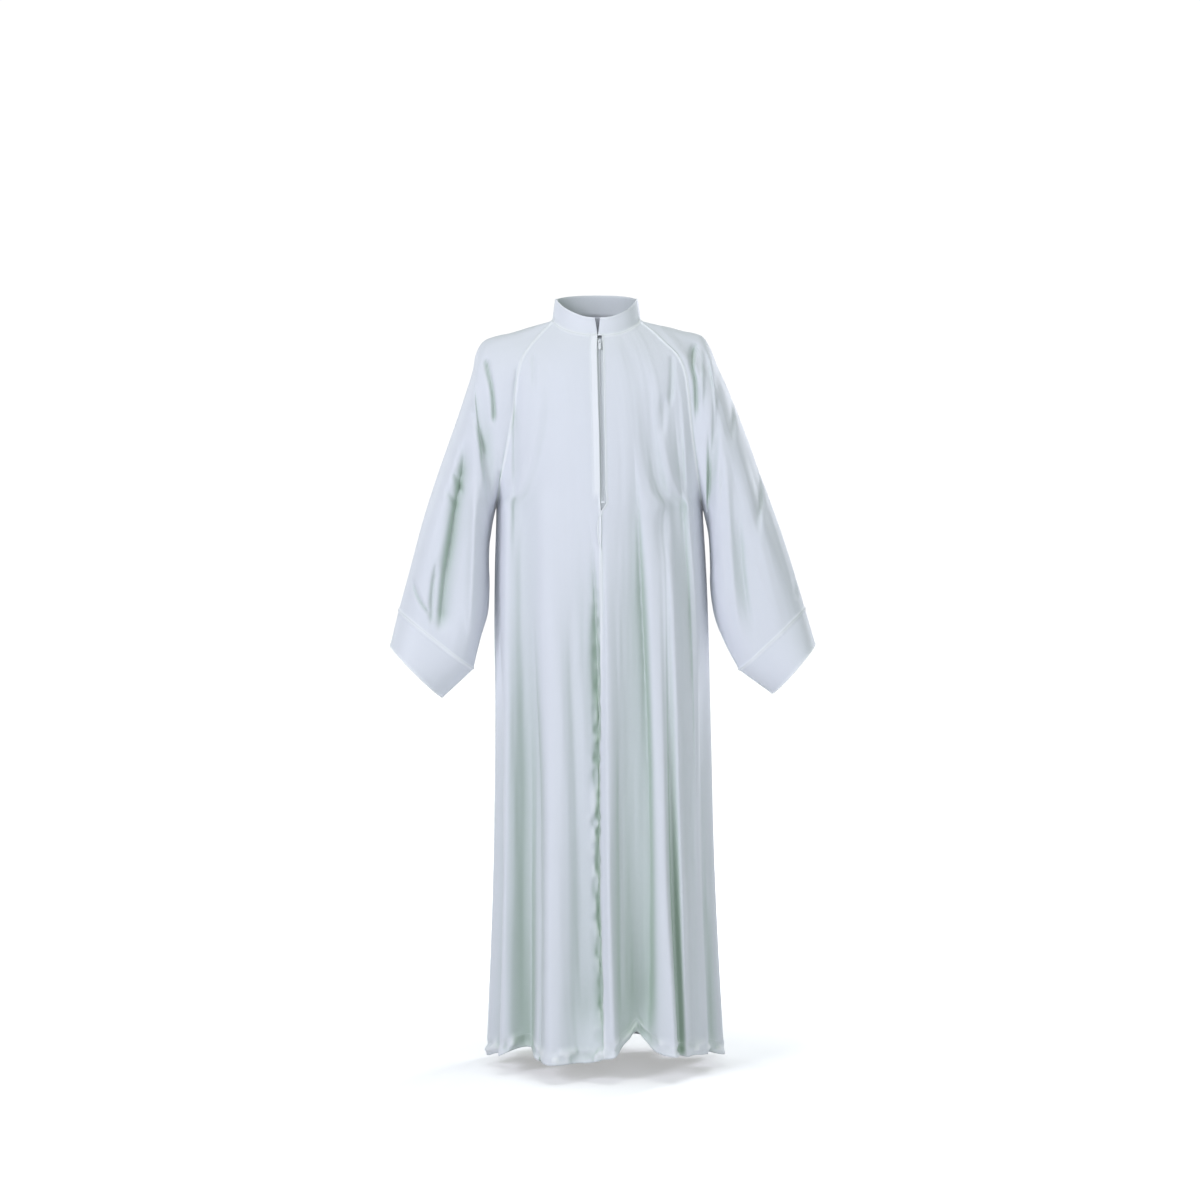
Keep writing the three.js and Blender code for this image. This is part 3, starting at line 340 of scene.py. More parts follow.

# Stage: the floor, its glow near the garment, kept low there as a painted shadow, and far off,
# where that painted shadow gives way, the backdrop, the camera's sensor in mm and its place
# across, the fill light, and the lamps with their places, aims, sizes, power and colours
FLOOR_SIZE = 60
FLOOR_COLOUR = (0.85, 0.84, 0.86)
BACKDROP = 1.05
SENSOR = 36
CAMERA_SIDE = 0.003
FLOOR_GLOW_AND_SHADOW = (0.38, 1.1)
PAINTED_SHADOW_REACH = (0.36, 1.4)
FILL_COLOUR = (0.60, 1.0, 0.64)
FILL_STRENGTH = 0.12
LIGHTS = (
    ("Key", (-3.0, -3.4, 1.1), (0.0, 0.0, -0.6), (1.5, 1.5), 122, (0.87, 0.87, 1.0)),
    ("Second", (0.6, -4.4, 0.7), (0.0, 0.0, -0.5), (2.0, 2.0), 32, (0.86, 0.87, 1.0)),
    ("Right", (3.6, -2.8, 0.2), (0.0, 0.0, -0.6), (2.2, 2.2), 42, (0.90, 0.93, 1.0)),
    ("Back left", (-3.4, 3.4, 0.9), (0.0, 0.0, -0.6), (2.0, 2.0), 60, (0.90, 0.92, 1.0)),
    ("Back right", (3.0, 3.4, 1.1), (0.0, 0.0, -0.6), (1.5, 1.5), 120, (0.88, 0.88, 1.0)),
    ("Top", (0.0, -0.4, 5.0), (0.0, 0.0, -0.4), (2.0, 2.0), 86, (1.0, 1.0, 0.97)),
)

# The finished cloth, by its node's name
FABRIC = {}


# Settings

class AlbCloth(bpy.types.PropertyGroup):
    """Sizes and finish of the cloth"""

    panel_wall: FloatProperty(
        name="Panel wall", description="Thickness of the single cloth", default=0.0008, unit="LENGTH"
    )
    band_wall: FloatProperty(
        name="Band wall", description="Thickness of the doubled collar and cuffs",
        default=0.0022, unit="LENGTH",
    )
    drape: FloatProperty(
        name="Drape", description="How deep the hand-placed creases are", default=1.0
    )
    colour: FloatVectorProperty(
        name="Colour", description="Colour of the single cloth", default=(0.76, 0.775, 0.82),
        subtype="COLOR",
    )
    # Also the colour of the painted highlights on the crests of puckers
    doubled_and_highlight_colour: FloatVectorProperty(
        name="Doubled colour", description="Colour where the cloth lies double",
        default=(0.93, 0.935, 0.95), subtype="COLOR",
    )
    tape_colour: FloatVectorProperty(
        name="Zip tape", description="Colour of the zip's tapes and coils",
        default=(0.72, 0.75, 0.76), subtype="COLOR",
    )


class AlbSeams(bpy.types.PropertyGroup):
    """Sizes of the seams, hems and stitches"""

    width: FloatProperty(
        name="Seam width", description="Half width of the ridge along a seam",
        default=0.0030, unit="LENGTH",
    )
    rise: FloatProperty(
        name="Seam rise", description="How far that ridge stands out", default=0.0018, unit="LENGTH"
    )
    hem: FloatProperty(
        name="Hem depth", description="Height of the turned hem", default=0.028, unit="LENGTH"
    )
    placket: FloatProperty(
        name="Placket", description="Width of the doubled edge over the zip", default=0.013,
        unit="LENGTH",
    )
    pucker: FloatProperty(
        name="Pucker", description="Height of the puckers along the stitched edges",
        default=0.0022, unit="LENGTH",
    )
    stitch: FloatProperty(
        name="Stitch", description="Length of a stitch", default=0.0028, unit="LENGTH"
    )
    gap: FloatProperty(
        name="Stitch gap", description="Gap between two stitches", default=0.0012, unit="LENGTH"
    )
    thread: FloatProperty(
        name="Thread", description="Radius of the thread", default=0.00024, unit="LENGTH"
    )


class AlbStage(bpy.types.PropertyGroup):
    """Floor, lights and camera"""

    floor_drop: FloatProperty(
        name="Floor drop", description="From the lowest hem to the floor", default=0.018, unit="LENGTH"
    )
    camera_distance: FloatProperty(
        name="Camera distance", description="From the camera to the garment's middle",
        default=4.5, unit="LENGTH",
    )
    camera_height: FloatProperty(
        name="Camera height", description="Height of the camera over the neck opening",
        default=-0.56, unit="LENGTH",
    )
    view_width: FloatProperty(
        name="View width", description="Width of the view at the garment", default=2.4, unit="LENGTH"
    )


SETTING_GROUPS = {"alb_cloth": AlbCloth, "alb_seams": AlbSeams, "alb_stage": AlbStage}


# Reading the frame's cloth

def merged_copy(name):
    """A copy of a node's mesh with its loose triangles joined."""
    mesh = bmesh.new()
    mesh.from_mesh(NODES[name].data)
    bmesh.ops.remove_doubles(mesh, verts=mesh.verts, dist=MERGE)
    return mesh


def islands(faces):
    """Groups of faces that hang together."""
    left = set(faces)
    groups = []
    while left:
        group = []
        waiting = [left.pop()]
        while waiting:
            face = waiting.pop()
            group.append(face)
            near = {other for edge in face.edges for other in edge.link_faces} & left
            left -= near
            waiting.extend(near)
        groups.append(group)
    return groups


def outer_skin(name, core):
    """The outer skin of a wall: the third corner beyond each directed edge, and the points."""
    wall = merged_copy(name)
    rung = RUNG_SLACK * min(edge.calc_length() for edge in wall.edges)
    rims = [face for face in wall.faces if min(edge.calc_length() for edge in face.edges) < rung]
    bmesh.ops.delete(wall, geom=rims, context="FACES")

    def facing_out(skin):
        return sum(
            face.calc_area() * face.normal.dot(face.calc_center_median() - core) for face in skin
        )

    skin = max(islands(wall.faces), key=facing_out)
    third = {}
    for face in skin:
        a, b, c = (vert.index for vert in face.verts)
        third[a, b], third[b, c], third[c, a] = c, a, b
    places = {vert.index: vert.co.copy() for face in skin for vert in face.verts}
    wall.free()
    return third, places


def border_loops(third):
    """The skin's borders, each with the cloth on its left."""
    follow = {a: b for a, b in third if (b, a) not in third}
    loops = []
    while follow:
        start = min(follow)
        loop = [start]
        here = follow.pop(start)
        while here != start:
            loop.append(here)
            here = follow.pop(here)
        loops.append(loop)
    return loops


def next_along(third, row, first, closed):
    """The row of points beside a row, given the one beside its first point."""
    beside = [first]
    pairs = list(zip(row, row[1:] + row[:1] if closed else row[1:]))
    for here, after in pairs:
        corner = third[here, after]
        beside.append(third[beside[-1], after] if corner == beside[-1] else corner)
    if closed and beside.pop() != first:
        raise RuntimeError("a ring of the cloth doesn't close")
    return beside


def panel_rows(third, places):
    """A flat piece's rows of points from its base up, each from left to right from outside."""
    (loop,) = border_loops(third)
    count = len(loop)
    spans = dict.fromkeys(loop, 0.0)
    for (here, after), beyond in third.items():
        if here in spans:
            spans[here] += (places[after] - places[here]).angle(places[beyond] - places[here])
    corners = sorted(sorted(range(count), key=lambda i: spans[loop[i]])[:4])
    low = set(sorted(corners, key=lambda i: places[loop[i]].z)[:2])
    start, end = next(
        pair for pair in zip(corners, corners[1:] + corners[:1]) if set(pair) == low
    )
    span = (end - start) % count
    row = [loop[(start + k) % count] for k in range(span + 1)]
    before = {loop[i]: loop[i - 1] for i in range(count)}
    rows = [row]
    while before[row[0]] != row[1]:
        row = next_along(third, row, before[row[0]], False)
        rows.append(row)
    return rows


def above(third, places, ring, k):
    """The point over one point of a ring, and whether the triangles there leave no doubt."""
    here, prior = ring[k], ring[k - 1]
    fan = [third[here, ring[(k + 1) % len(ring)]]]
    while fan[-1] != prior:
        fan.append(third[here, fan[-1]])
    fan.pop()
    if len(fan) % 2:
        return fan[len(fan) // 2], True
    return min(fan, key=lambda other: (places[other] - places[here]).length), False


def tube_rows(third, places):
    """A tube's rings of points from its lower end up, each from its lowest point round."""
    loops = border_loops(third)
    ring = min(loops, key=lambda loop: sum(places[i].z for i in loop) / len(loop))
    lowest = min(range(len(ring)), key=lambda k: places[ring[k]].z)
    ring = ring[lowest:] + ring[:lowest]
    top = set(max(loops, key=lambda loop: sum(places[i].z for i in loop) / len(loop)))
    rings = [ring]
    while ring[0] not in top:
        found = [(above(third, places, ring, k), k) for k in range(len(ring))]
        (first, _), k = next((f for f in found if f[0][1]), found[0])
        turned = next_along(third, ring[k:] + ring[:k], first, True)
        ring = turned[-k:] + turned[:-k] if k else turned
        rings.append(ring)
    return rings


def cloth_points(name, core, tube=False):
    """A node's outer skin as an array of rows of points, a tube's first column repeated."""
    third, places = outer_skin(name, core)
    rows = tube_rows(third, places) if tube else panel_rows(third, places)
    if sum(map(len, rows)) != len(places):
        raise RuntimeError(f"the cloth of {name} isn't a plain grid of points")
    points = np.array([[places[i][:] for i in row] for row in rows])
    return np.concatenate([points, points[:, :1]], 1) if tube else points


# Smooth cloth through the frame's points

def along(points, axis):
    """Mean distances along an axis of an array of points."""
    steps = np.linalg.norm(np.diff(points, axis=axis), axis=-1)
    return np.concatenate([[0.0], np.cumsum(steps.mean(axis=1 - axis))])


def run_lengths(line):
    """Distances along a line of points, from 0 at its start."""
    return np.concatenate([[0.0], np.cumsum(np.linalg.norm(np.diff(line, axis=0), axis=1))])


def read_line(values, stops, at):
    """Reads points or normals along a line, at any places."""
    return np.stack([np.interp(at, stops, values[:, i]) for i in range(3)], 1)


def smooth_through(values, stops, at):
    """Reads a smooth curve through values, along their first axis, at any places."""
    gaps = np.diff(stops)
    shape = (-1,) + (1,) * (values.ndim - 1)
    wide = gaps.reshape(shape)
    slopes = np.diff(values, axis=0) / wide
    middle = (wide[:-1] * slopes[1:] + wide[1:] * slopes[:-1]) / (wide[:-1] + wide[1:])
    bends = np.concatenate([slopes[:1], middle, slopes[-1:]])
    i = np.clip(np.searchsorted(stops, at, side="right") - 1, 0, len(gaps) - 1)
    t = ((at - stops[i]) / gaps[i]).reshape(shape)
    gap = gaps[i].reshape(shape)
    rise = values[i + 1] - values[i]
    start = bends[i] * gap - rise
    end = rise - bends[i + 1] * gap
    return values[i] + t * rise + t * (1 - t) * ((1 - t) * start + t * end)


def spread(length, step, crowding):
    """Places from 0 to a length, about a step apart, closer together near both ends."""
    share = np.linspace(0, 1, max(2, round(length / step)) + 1)
    crowded = 0.5 - 0.5 * np.cos(math.pi * share)
    return length * ((1 - crowding) * share + crowding * crowded)


def ease(share):
    """Runs smoothly from 0 to 1, and stays there on either side."""
    share = np.clip(share, 0, 1)
    return share * share * (3 - 2 * share)


def uneven(x, y, seed):
    """Smooth random values from -1 to 1 over a plane, with one knot a unit."""
    knots = np.random.default_rng(seed).uniform(-1, 1, (KNOTS, KNOTS))
    i, j = np.floor(x).astype(int), np.floor(y).astype(int)
    s, t = ease(x - i), ease(y - j)

    def knot(right, up):
        return knots[(i + right) % KNOTS, (j + up) % KNOTS]

    low, high = ((1 - s) * knot(0, up) + s * knot(1, up) for up in (0, 1))
    return (1 - t) * low + t * high


def beside(x, z, line):
    """Distance to a smooth line, below 0 on its left going down, and the share along it."""
    line = np.array(line, float) * MM
    stops = run_lengths(line)
    path = smooth_through(line, stops, np.linspace(0, stops[-1], CREASE_POINTS))
    step = np.diff(path, axis=0)
    offset = np.stack([x, z], -1)[:, None, :] - path[:-1]
    share = np.clip((offset * step).sum(-1) / (step**2).sum(-1), 0, 1)
    away = offset - share[..., None] * step
    near = np.argmin((away**2).sum(-1), axis=1)
    every = np.arange(len(near))
    share, away, step = share[every, near], away[every, near], step[near]
    side = np.sign(step[:, 0] * away[:, 1] - step[:, 1] * away[:, 0])
    return side * np.hypot(away[:, 0], away[:, 1]), (near + share) / (CREASE_POINTS - 1)


def kind(name):
    """A piece's name without its side."""
    return name.removesuffix("_left").removesuffix("_right")


class Fabric:
    """A piece of cloth as a fine array of points, with the distances to its four borders."""

    def __init__(self, name):
        tube, step, row_step = PIECES[kind(name)]
        low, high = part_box(name)
        core = Vector((0, 0, (low.z + high.z) / 2)) if not tube else (low + high) / 2
        coarse = cloth_points(name, core, tube)
        rows, columns = along(coarse, 0), along(coarse, 1)
        turn = columns[-1]
        if tube:
            coarse = np.concatenate([coarse[:, -3:-1], coarse, coarse[:, 1:3]], 1)
            columns = np.concatenate([columns[-3:-1] - turn, columns, columns[1:3] + turn])
        self.name, self.tube = name, tube
        self.size = (turn, rows[-1])
        fine = smooth_through(coarse, rows, spread(rows[-1], row_step, ROW_CROWDING))
        places = spread(turn, step, 0 if tube else COLUMN_CROWDING)
        fine = smooth_through(np.swapaxes(fine, 0, 1), columns, places)
        self.points = np.swapaxes(fine, 0, 1)
        self.doubled = np.zeros(self.points.shape[:2])
        self.measure()

    def measure(self):
        """Works out the normals and the distances to the borders again."""
        points = self.points
        across = np.linalg.norm(np.diff(points, axis=1), axis=-1)
        up = np.linalg.norm(np.diff(points, axis=0), axis=-1)
        self.left = np.pad(np.cumsum(across, 1), ((0, 0), (1, 0)))
        self.right = self.left[:, -1:] - self.left
        self.base = np.pad(np.cumsum(up, 0), ((1, 0), (0, 0)))
        self.top = self.base[-1:] - self.base
        wide = np.concatenate([points[:, -2:-1], points, points[:, 1:2]], 1) if self.tube else points
        du = np.gradient(wide, axis=1)
        du = du[:, 1:-1] if self.tube else du
        normals = np.cross(du, np.gradient(points, axis=0))
        self.normals = normals / np.linalg.norm(normals, axis=-1, keepdims=True)

    def lift(self, height):
        """Moves the cloth out along its normals."""
        self.points = self.points + self.normals * height[..., None]
        self.measure()

    def crease(self, table, view, drape):
        """Presses the creases of a table in, seen from the front (-1) or from behind (1)."""
        stage = bpy.context.scene.alb_stage
        x, y, z = (self.points[..., i].ravel() for i in range(3))
        scale = stage.camera_distance / (stage.camera_distance - view * y)
        x, z = x * scale, stage.camera_height + (z - stage.camera_height) * scale
        facing = ease(0.5 + CREASE_TURN * view * self.normals[..., 1].ravel())
        height = np.zeros(x.shape)
        for pieces, rise, left, right, power, start, end, line in table:
            if not self.name.startswith(pieces):
                continue
            distance, share = beside(x, z, line)
            width = np.where(distance < 0, left, right) * MM
            form = np.exp(-(np.abs(distance / width) ** power))
            form *= ease(share / start) if start else 1.0
            form *= ease((1 - share) / end) if end else 1.0
            if self.tube:
                form *= ease(self.base.ravel() / CREASE_FADE)
            if self.tube and isinstance(pieces, str):
                form *= ease(self.top.ravel() / CREASE_FADE)
            height += drape * rise * MM * form
        self.points[..., 1] += view * (height * facing).reshape(self.points.shape[:2])
        self.measure()

    def streaks(self):
        """Height of the fine unevenness that runs down the cloth."""
        x, y, z = (self.points[..., i] for i in range(3))
        slant = SLEEVE_SLANT if self.name.startswith("sleeve") else 0.0
        across = x + STREAK_TURN * y + np.sign(x.mean()) * slant * z
        height = sum(
            rise * uneven(across / apart + 8, z / length + 8, seed)
            for seed, (rise, apart, length) in enumerate(STREAKS)
        )
        edge = self.top if self.tube else np.minimum(self.left, self.right)
        return height * ease(edge / STREAK_FADE)

    def ridge(self, distance, rise, width, amount=0.6):
        """Height of the ridge that turned-in cloth makes along a seam, which shows lighter."""
        self.double(distance, 1.2 * width, amount)
        return rise * np.exp(-((distance / width) ** 2))

    def double(self, distance, width, amount):
        """Marks cloth that lies double up to a distance from a border."""
        self.doubled = np.maximum(self.doubled, amount * ease(1.5 - distance / width))

    def band(self, distance, rise, width, amount):
        """Height of a doubled edge with a soft step at its inner end."""
        self.double(distance, width, amount)
        return rise * ease((width - distance) / (0.25 * width) + 0.5)

    def puckers(self, along_edge, distance, height, row, share=1.0):
        """Height of the short puckers that stitching draws into an edge, with a painted highlight
        on their crests.
        """
        centre, width, rise, apart, white, seed = row
        wave = uneven(along_edge / apart + 8, distance / (PUCKER_DEPTH * width) + 3, seed)
        near = np.exp(-(((distance - centre) / width) ** 2))
        # Painted highlight: the raised crests of the puckers are marked lighter
        self.doubled = np.maximum(self.doubled, white * share * near * ease(2 * wave))
        return share * (rise * height * wave * near)

    def border(self, side):
        """The points of one border."""
        return {
            "left": self.points[:, 0], "right": self.points[:, -1],
            "base": self.points[0], "top": self.points[-1],
        }[side]

    def meet(self, side, reach):
        """Draws one border onto the borders of the pieces made before, where they lie near."""
        here = self.border(side)
        best, shift = np.full(len(here), reach), np.zeros((len(here), 3))
        for other in FABRIC.values():
            for line in map(other.border, ("left", "right", "base", "top")):
                step = np.diff(line, axis=0)
                offset = here[:, None] - line[None, :-1]
                share = (offset * step).sum(-1) / np.maximum((step**2).sum(-1), 1e-12)
                away = offset - np.clip(share, 0, 1)[..., None] * step
                gap = np.linalg.norm(away, axis=-1)
                near, every = gap.argmin(1), np.arange(len(here))
                closer = gap[every, near] < best
                best = np.where(closer, gap[every, near], best)
                shift = np.where(closer[:, None], -away[every, near], shift)
        shift *= ease(2 - 2 * best / reach)[:, None]
        shift = shift[:, None] if side in ("left", "right") else shift[None]
        self.points += shift * np.exp(-getattr(self, side) / MEET_FADE)[..., None]
        self.measure()

    def inside(self, side, depth):
        """The points at a depth inside one border, and the normals there."""
        distance = getattr(self, side)
        fields = [distance[..., None], self.points, self.normals]
        if side in ("left", "right"):
            fields = [np.swapaxes(field, 0, 1) for field in fields]
        if side in ("top", "right"):
            fields = [field[::-1] for field in fields]
        distance = fields[0][..., 0]
        k = np.clip((distance < depth).sum(0), 1, len(distance) - 1)
        every = np.arange(len(k))
        low, high = distance[k - 1, every], distance[k, every]
        share = ((depth - low) / (high - low))[:, None]
        return [field[k - 1, every] * (1 - share) + field[k, every] * share for field in fields[1:]]


def hanging_cloth(name, drape):
    """A panel or a sleeve with its creases and its fine unevenness."""
    fabric = Fabric(name)
    fabric.crease(FRONT_CREASES, -1, drape)
    fabric.crease(BACK_CREASES, 1, drape)
    fabric.lift(fabric.streaks())
    return fabric


def make_piece(fabric, wall, material):
    """A shown piece of cloth: a grid laid on the fabric's points, given a wall."""
    for side, reach in SEAMS.get(fabric.name, SEAMS.get(kind(fabric.name), ())):
        fabric.meet(side, reach)
    rows, columns = fabric.points.shape[:2]
    mesh = bmesh.new()
    # Per point: how much the cloth lies double, and the painted highlight on the crests of puckers
    doubled = mesh.verts.layers.float.new("doubled")
    mesh.loops.layers.uv.new("UVMap")
    bmesh.ops.create_grid(
        mesh, x_segments=columns - 1, y_segments=rows - 1, size=0.5, calc_uvs=True
    )
    places, double = fabric.points.tolist(), fabric.doubled.tolist()
    for vert in mesh.verts:
        column = round((vert.co.x + 0.5) * (columns - 1))
        row = round((vert.co.y + 0.5) * (rows - 1))
        vert.co = places[row][column]
        vert[doubled] = double[row][column]
    uv = mesh.loops.layers.uv.active
    width, height = fabric.size
    for face in mesh.faces:
        face.smooth = True
        for loop in face.loops:
            x, y = loop[uv].uv
            loop[uv].uv = (x * width, y * height)
    if fabric.tube:
        bmesh.ops.remove_doubles(mesh, verts=mesh.verts, dist=MERGE / 10)
    piece = mesh_object(mesh, fabric.name + "_cloth", material)
    solid = piece.modifiers.new("Wall", "SOLIDIFY")
    solid.thickness = wall
    solid.offset = -1.0
    solid.use_even_offset = False
    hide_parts(fabric.name)
    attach(piece, "garment")
    width, length, area, sewn = SHEETS[fabric.name]
    FABRIC[fabric.name] = fabric
    return piece


def placed(name, data):
    """Puts an object in the scene."""
    item = bpy.data.objects.new(name, data)
    bpy.context.scene.collection.objects.link(item)
    return item


def mesh_object(mesh, name, material):
    """Puts a finished mesh in the scene."""
    data = bpy.data.meshes.new(name)
    mesh.to_mesh(data)
    mesh.free()
    data.materials.append(material)
    return placed(name, data)


def thread_line(curve, points, radius):
    """Adds a run of thread to a curve."""
    run = curve.splines.new("POLY")
    run.points.add(len(points) - 1)
    run.points.foreach_set("co", np.pad(points, ((0, 0), (0, 1)), constant_values=1).ravel())
    curve.bevel_depth = radius


def stitches(curve, line, settings):
    """Adds a row of stitches along a line of points with normals."""
    points, normals = line
    stops = run_lengths(points)
    step = settings.stitch + settings.gap
    starts = np.arange(0.5 * step, stops[-1] - step, step)
    for start in starts:
        at = start + settings.stitch * np.array(STITCH_BENDS)
        raised = settings.thread * np.array(STITCH_RISES)
        place, out = read_line(points, stops, at), read_line(normals, stops, at)
        thread_line(curve, place + out * raised[:, None], settings.thread)


def thread_piece(name, curve, material):
    """Shows a curve of thread."""
    curve.dimensions = "3D"
    curve.bevel_resolution = 1
    curve.use_fill_caps = True
    curve.materials.append(material)
    piece = placed(name, curve)
    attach(piece, "garment")


# Materials

def new_material(name):
    """A new material, with its node tree and its shader."""
    material = bpy.data.materials.new(name)
    material.use_nodes = True
    tree = material.node_tree
    return material, tree, tree.nodes["Principled BSDF"]


def fill(tree, node, inputs):
    """Sets a node's inputs, each to a value or to the output of another node."""
    for name, value in inputs.items():
        if isinstance(value, bpy.types.NodeSocket):
            tree.links.new(value, node.inputs[name])
        else:
            node.inputs[name].default_value = value


def add_node(tree, node_type, inputs, **settings):
    """Adds a node with its inputs and settings, and gives its outputs."""
    node = tree.nodes.new("ShaderNode" + node_type)
    for name, value in settings.items():
        setattr(node, name, value)
    fill(tree, node, inputs)
    return node.outputs


def mix_colours(tree, share, first, second, **settings):
    """Mixes two colours, and gives the result."""
    inputs = {"Factor": share, "A": first, "B": second}
    return add_node(tree, "Mix", inputs, data_type="RGBA", **settings)["Result"]


def cloudy_colour(tree, colour, clouds, noise):
    """A colour with faint darker clouds."""
    share = add_node(tree, "TexNoise", noise)["Fac"]
    return mix_colours(tree, share, (*[c * clouds for c in colour], 1), (*colour, 1))


def cloth_material(name, colour, doubled, finish):
    """Plain woven cloth: crossing threads on the piece's own map, lighter where it lies double,
    with painted highlights on the crests of puckers and painted shade in its hollows.
    """
    thread, roughness, sheen = finish
    material, tree, shader = new_material(name)
    place = add_node(tree, "TexCoord", {})
    around = place["Object"]
    tint = cloudy_colour(
        tree, colour, CLOTH_CLOUDS, {"Vector": around, "Scale": 9.0, "Detail": 3.0}
    )
    layers = add_node(tree, "Attribute", {}, attribute_name="doubled")["Fac"]
    # Painted shade: the colour is darkened and tinted green where the cloth's own folds shut it in
    open_air = add_node(
        tree, "AmbientOcclusion", {"Distance": PAINTED_SHADE_SPAN}, samples=8, only_local=True
    )["AO"]
    low, high = PAINTED_SHADE_RANGE
    depth = add_node(tree, "MapRange", {"Value": open_air, "From Min": low, "From Max": high})
    painted_shade = mix_colours(tree, depth["Result"], (*PAINTED_SHADE_TINT, 1), (1, 1, 1, 1))
    # Lighter where the cloth lies double, and a painted highlight on the crests of puckers
    lighter = mix_colours(tree, layers, tint, (*doubled, 1))
    wave = {"Vector": place["UV"], "Scale": math.pi / (10 * thread), "Distortion": 0.6, "Detail": 1.0}
    weft = add_node(tree, "TexWave", wave, bands_direction="X")["Fac"]
    warp = add_node(tree, "TexWave", wave, bands_direction="Y")["Fac"]
    weave = add_node(tree, "Math", {0: weft, 1: warp}, operation="MULTIPLY")["Value"]
    bump = add_node(tree, "Bump", {"Height": weave, "Strength": 0.25, "Distance": 0.0001})["Normal"]
    soft = add_node(tree, "TexNoise", {"Vector": around, "Scale": 70.0, "Detail": 2.0})["Fac"]
    rumple = {"Height": soft, "Normal": bump, "Strength": 0.15, "Distance": 0.0008}
    fill(tree, shader, {
        "Base Color": mix_colours(tree, 1.0, lighter, painted_shade, blend_type="MULTIPLY"),
        "Normal": add_node(tree, "Bump", rumple)["Normal"],
        "Roughness": roughness, "Sheen Weight": sheen, "Sheen Roughness": 0.4,
        "Specular IOR Level": 0.3,
    })
    return material


def plain_material(name, finish):
    """Smooth thread, coil or enamel, with a faint unevenness of colour."""
    colour, roughness = finish
    material, tree, shader = new_material(name)
    noise = {"Vector": add_node(tree, "TexCoord", {})["Object"], "Scale": 300.0}
    tint = cloudy_colour(tree, colour, PLAIN_CLOUDS, noise)
    fill(tree, shader, {"Base Color": tint, "Roughness": roughness})
    return material


# Operators

class ALB_OT_body(bpy.types.Operator):
    """Makes the two fronts and the back"""

    bl_idname = "alb.body"
    bl_label = "Body"

    def execute(self, context):
        cloth, seams = context.scene.alb_cloth, context.scene.alb_seams
        material = cloth_material("Alb cloth", cloth.colour, cloth.doubled_and_highlight_colour, CLOTH_FINISH)
        for name in PANELS:
            fabric = hanging_cloth(name, cloth.drape)
            seam = (seams.rise, seams.width)
            height = fabric.ridge(fabric.top, *seam)
            x, z = fabric.points[..., 0], fabric.points[..., 2]
            for side in ("left", "right"):
                distance = getattr(fabric, side)
                if (name, side) == ("front_left", "right"):
                    over_zip = ease((z - ZIP_FOOT) / PLACKET_END)
                    height += over_zip * fabric.band(
                        distance, PLACKET_RISE, seams.placket, PLACKET_DOUBLED * over_zip
                    )
                    height += (1 - over_zip) * fabric.ridge(distance, *seam)
                    below = ease((PUCKER_TOP - z) / PUCKER_GROWTH)
                    height += fabric.puckers(z, distance, seams.pucker, SEAM_PUCKERS, below)
                else:
                    height += fabric.ridge(distance, *seam)
            height += fabric.band(fabric.base, HEM_RISE, seams.hem, HEM_DOUBLED)
            height += fabric.puckers(x, fabric.base, seams.pucker, HEM_PUCKERS)
            fabric.lift(height)
            make_piece(fabric, cloth.panel_wall, material)
        return {"FINISHED"}


class ALB_OT_sleeves(bpy.types.Operator):
    """Makes the two raglan sleeves"""

    bl_idname = "alb.sleeves"
    bl_label = "Sleeves"

    def execute(self, context):
        cloth, seams = context.scene.alb_cloth, context.scene.alb_seams
        material = cloth_material("Sleeve cloth", cloth.colour, cloth.doubled_and_highlight_colour, CLOTH_FINISH)
        for name in ("sleeve_left", "sleeve_right"):
            fabric = hanging_cloth(name, cloth.drape)
            seam = (seams.rise, seams.width)
            fabric.lift(fabric.ridge(fabric.top, *seam) + fabric.ridge(fabric.base, *seam))
            make_piece(fabric, cloth.panel_wall, material)
        return {"FINISHED"}


class ALB_OT_bands(bpy.types.Operator):
    """Makes the collar and the two cuffs"""

    bl_idname = "alb.bands"
    bl_label = "Collar and cuffs"

    def execute(self, context):
        cloth, seams = context.scene.alb_cloth, context.scene.alb_seams
        material = cloth_material("Band cloth", cloth.colour, cloth.doubled_and_highlight_colour, BAND_FINISH)
        for name in ("cuff_left", "cuff_right", "collar"):
            fabric = Fabric(name)
            if name == "collar":
                height = fabric.ridge(fabric.base, seams.rise, COLLAR_SEAM * seams.width)
                height += fabric.ridge(fabric.top, COLLAR_TURN * seams.rise, seams.width)
                fabric.double(fabric.base, *COLLAR_DOUBLED)
            else:
                height = fabric.ridge(fabric.top, seams.rise, seams.width)
                height += fabric.ridge(fabric.base, CUFF_TURN * seams.rise, seams.width)
            fabric.lift(height)
            piece = make_piece(fabric, cloth.band_wall, material)
            soften = piece.modifiers.new("Edges", "BEVEL")
            soften.width = BAND_EDGE
            soften.segments = 2
            soften.limit_method = "ANGLE"
            soften.angle_limit = BAND_SHARP
        return {"FINISHED"}


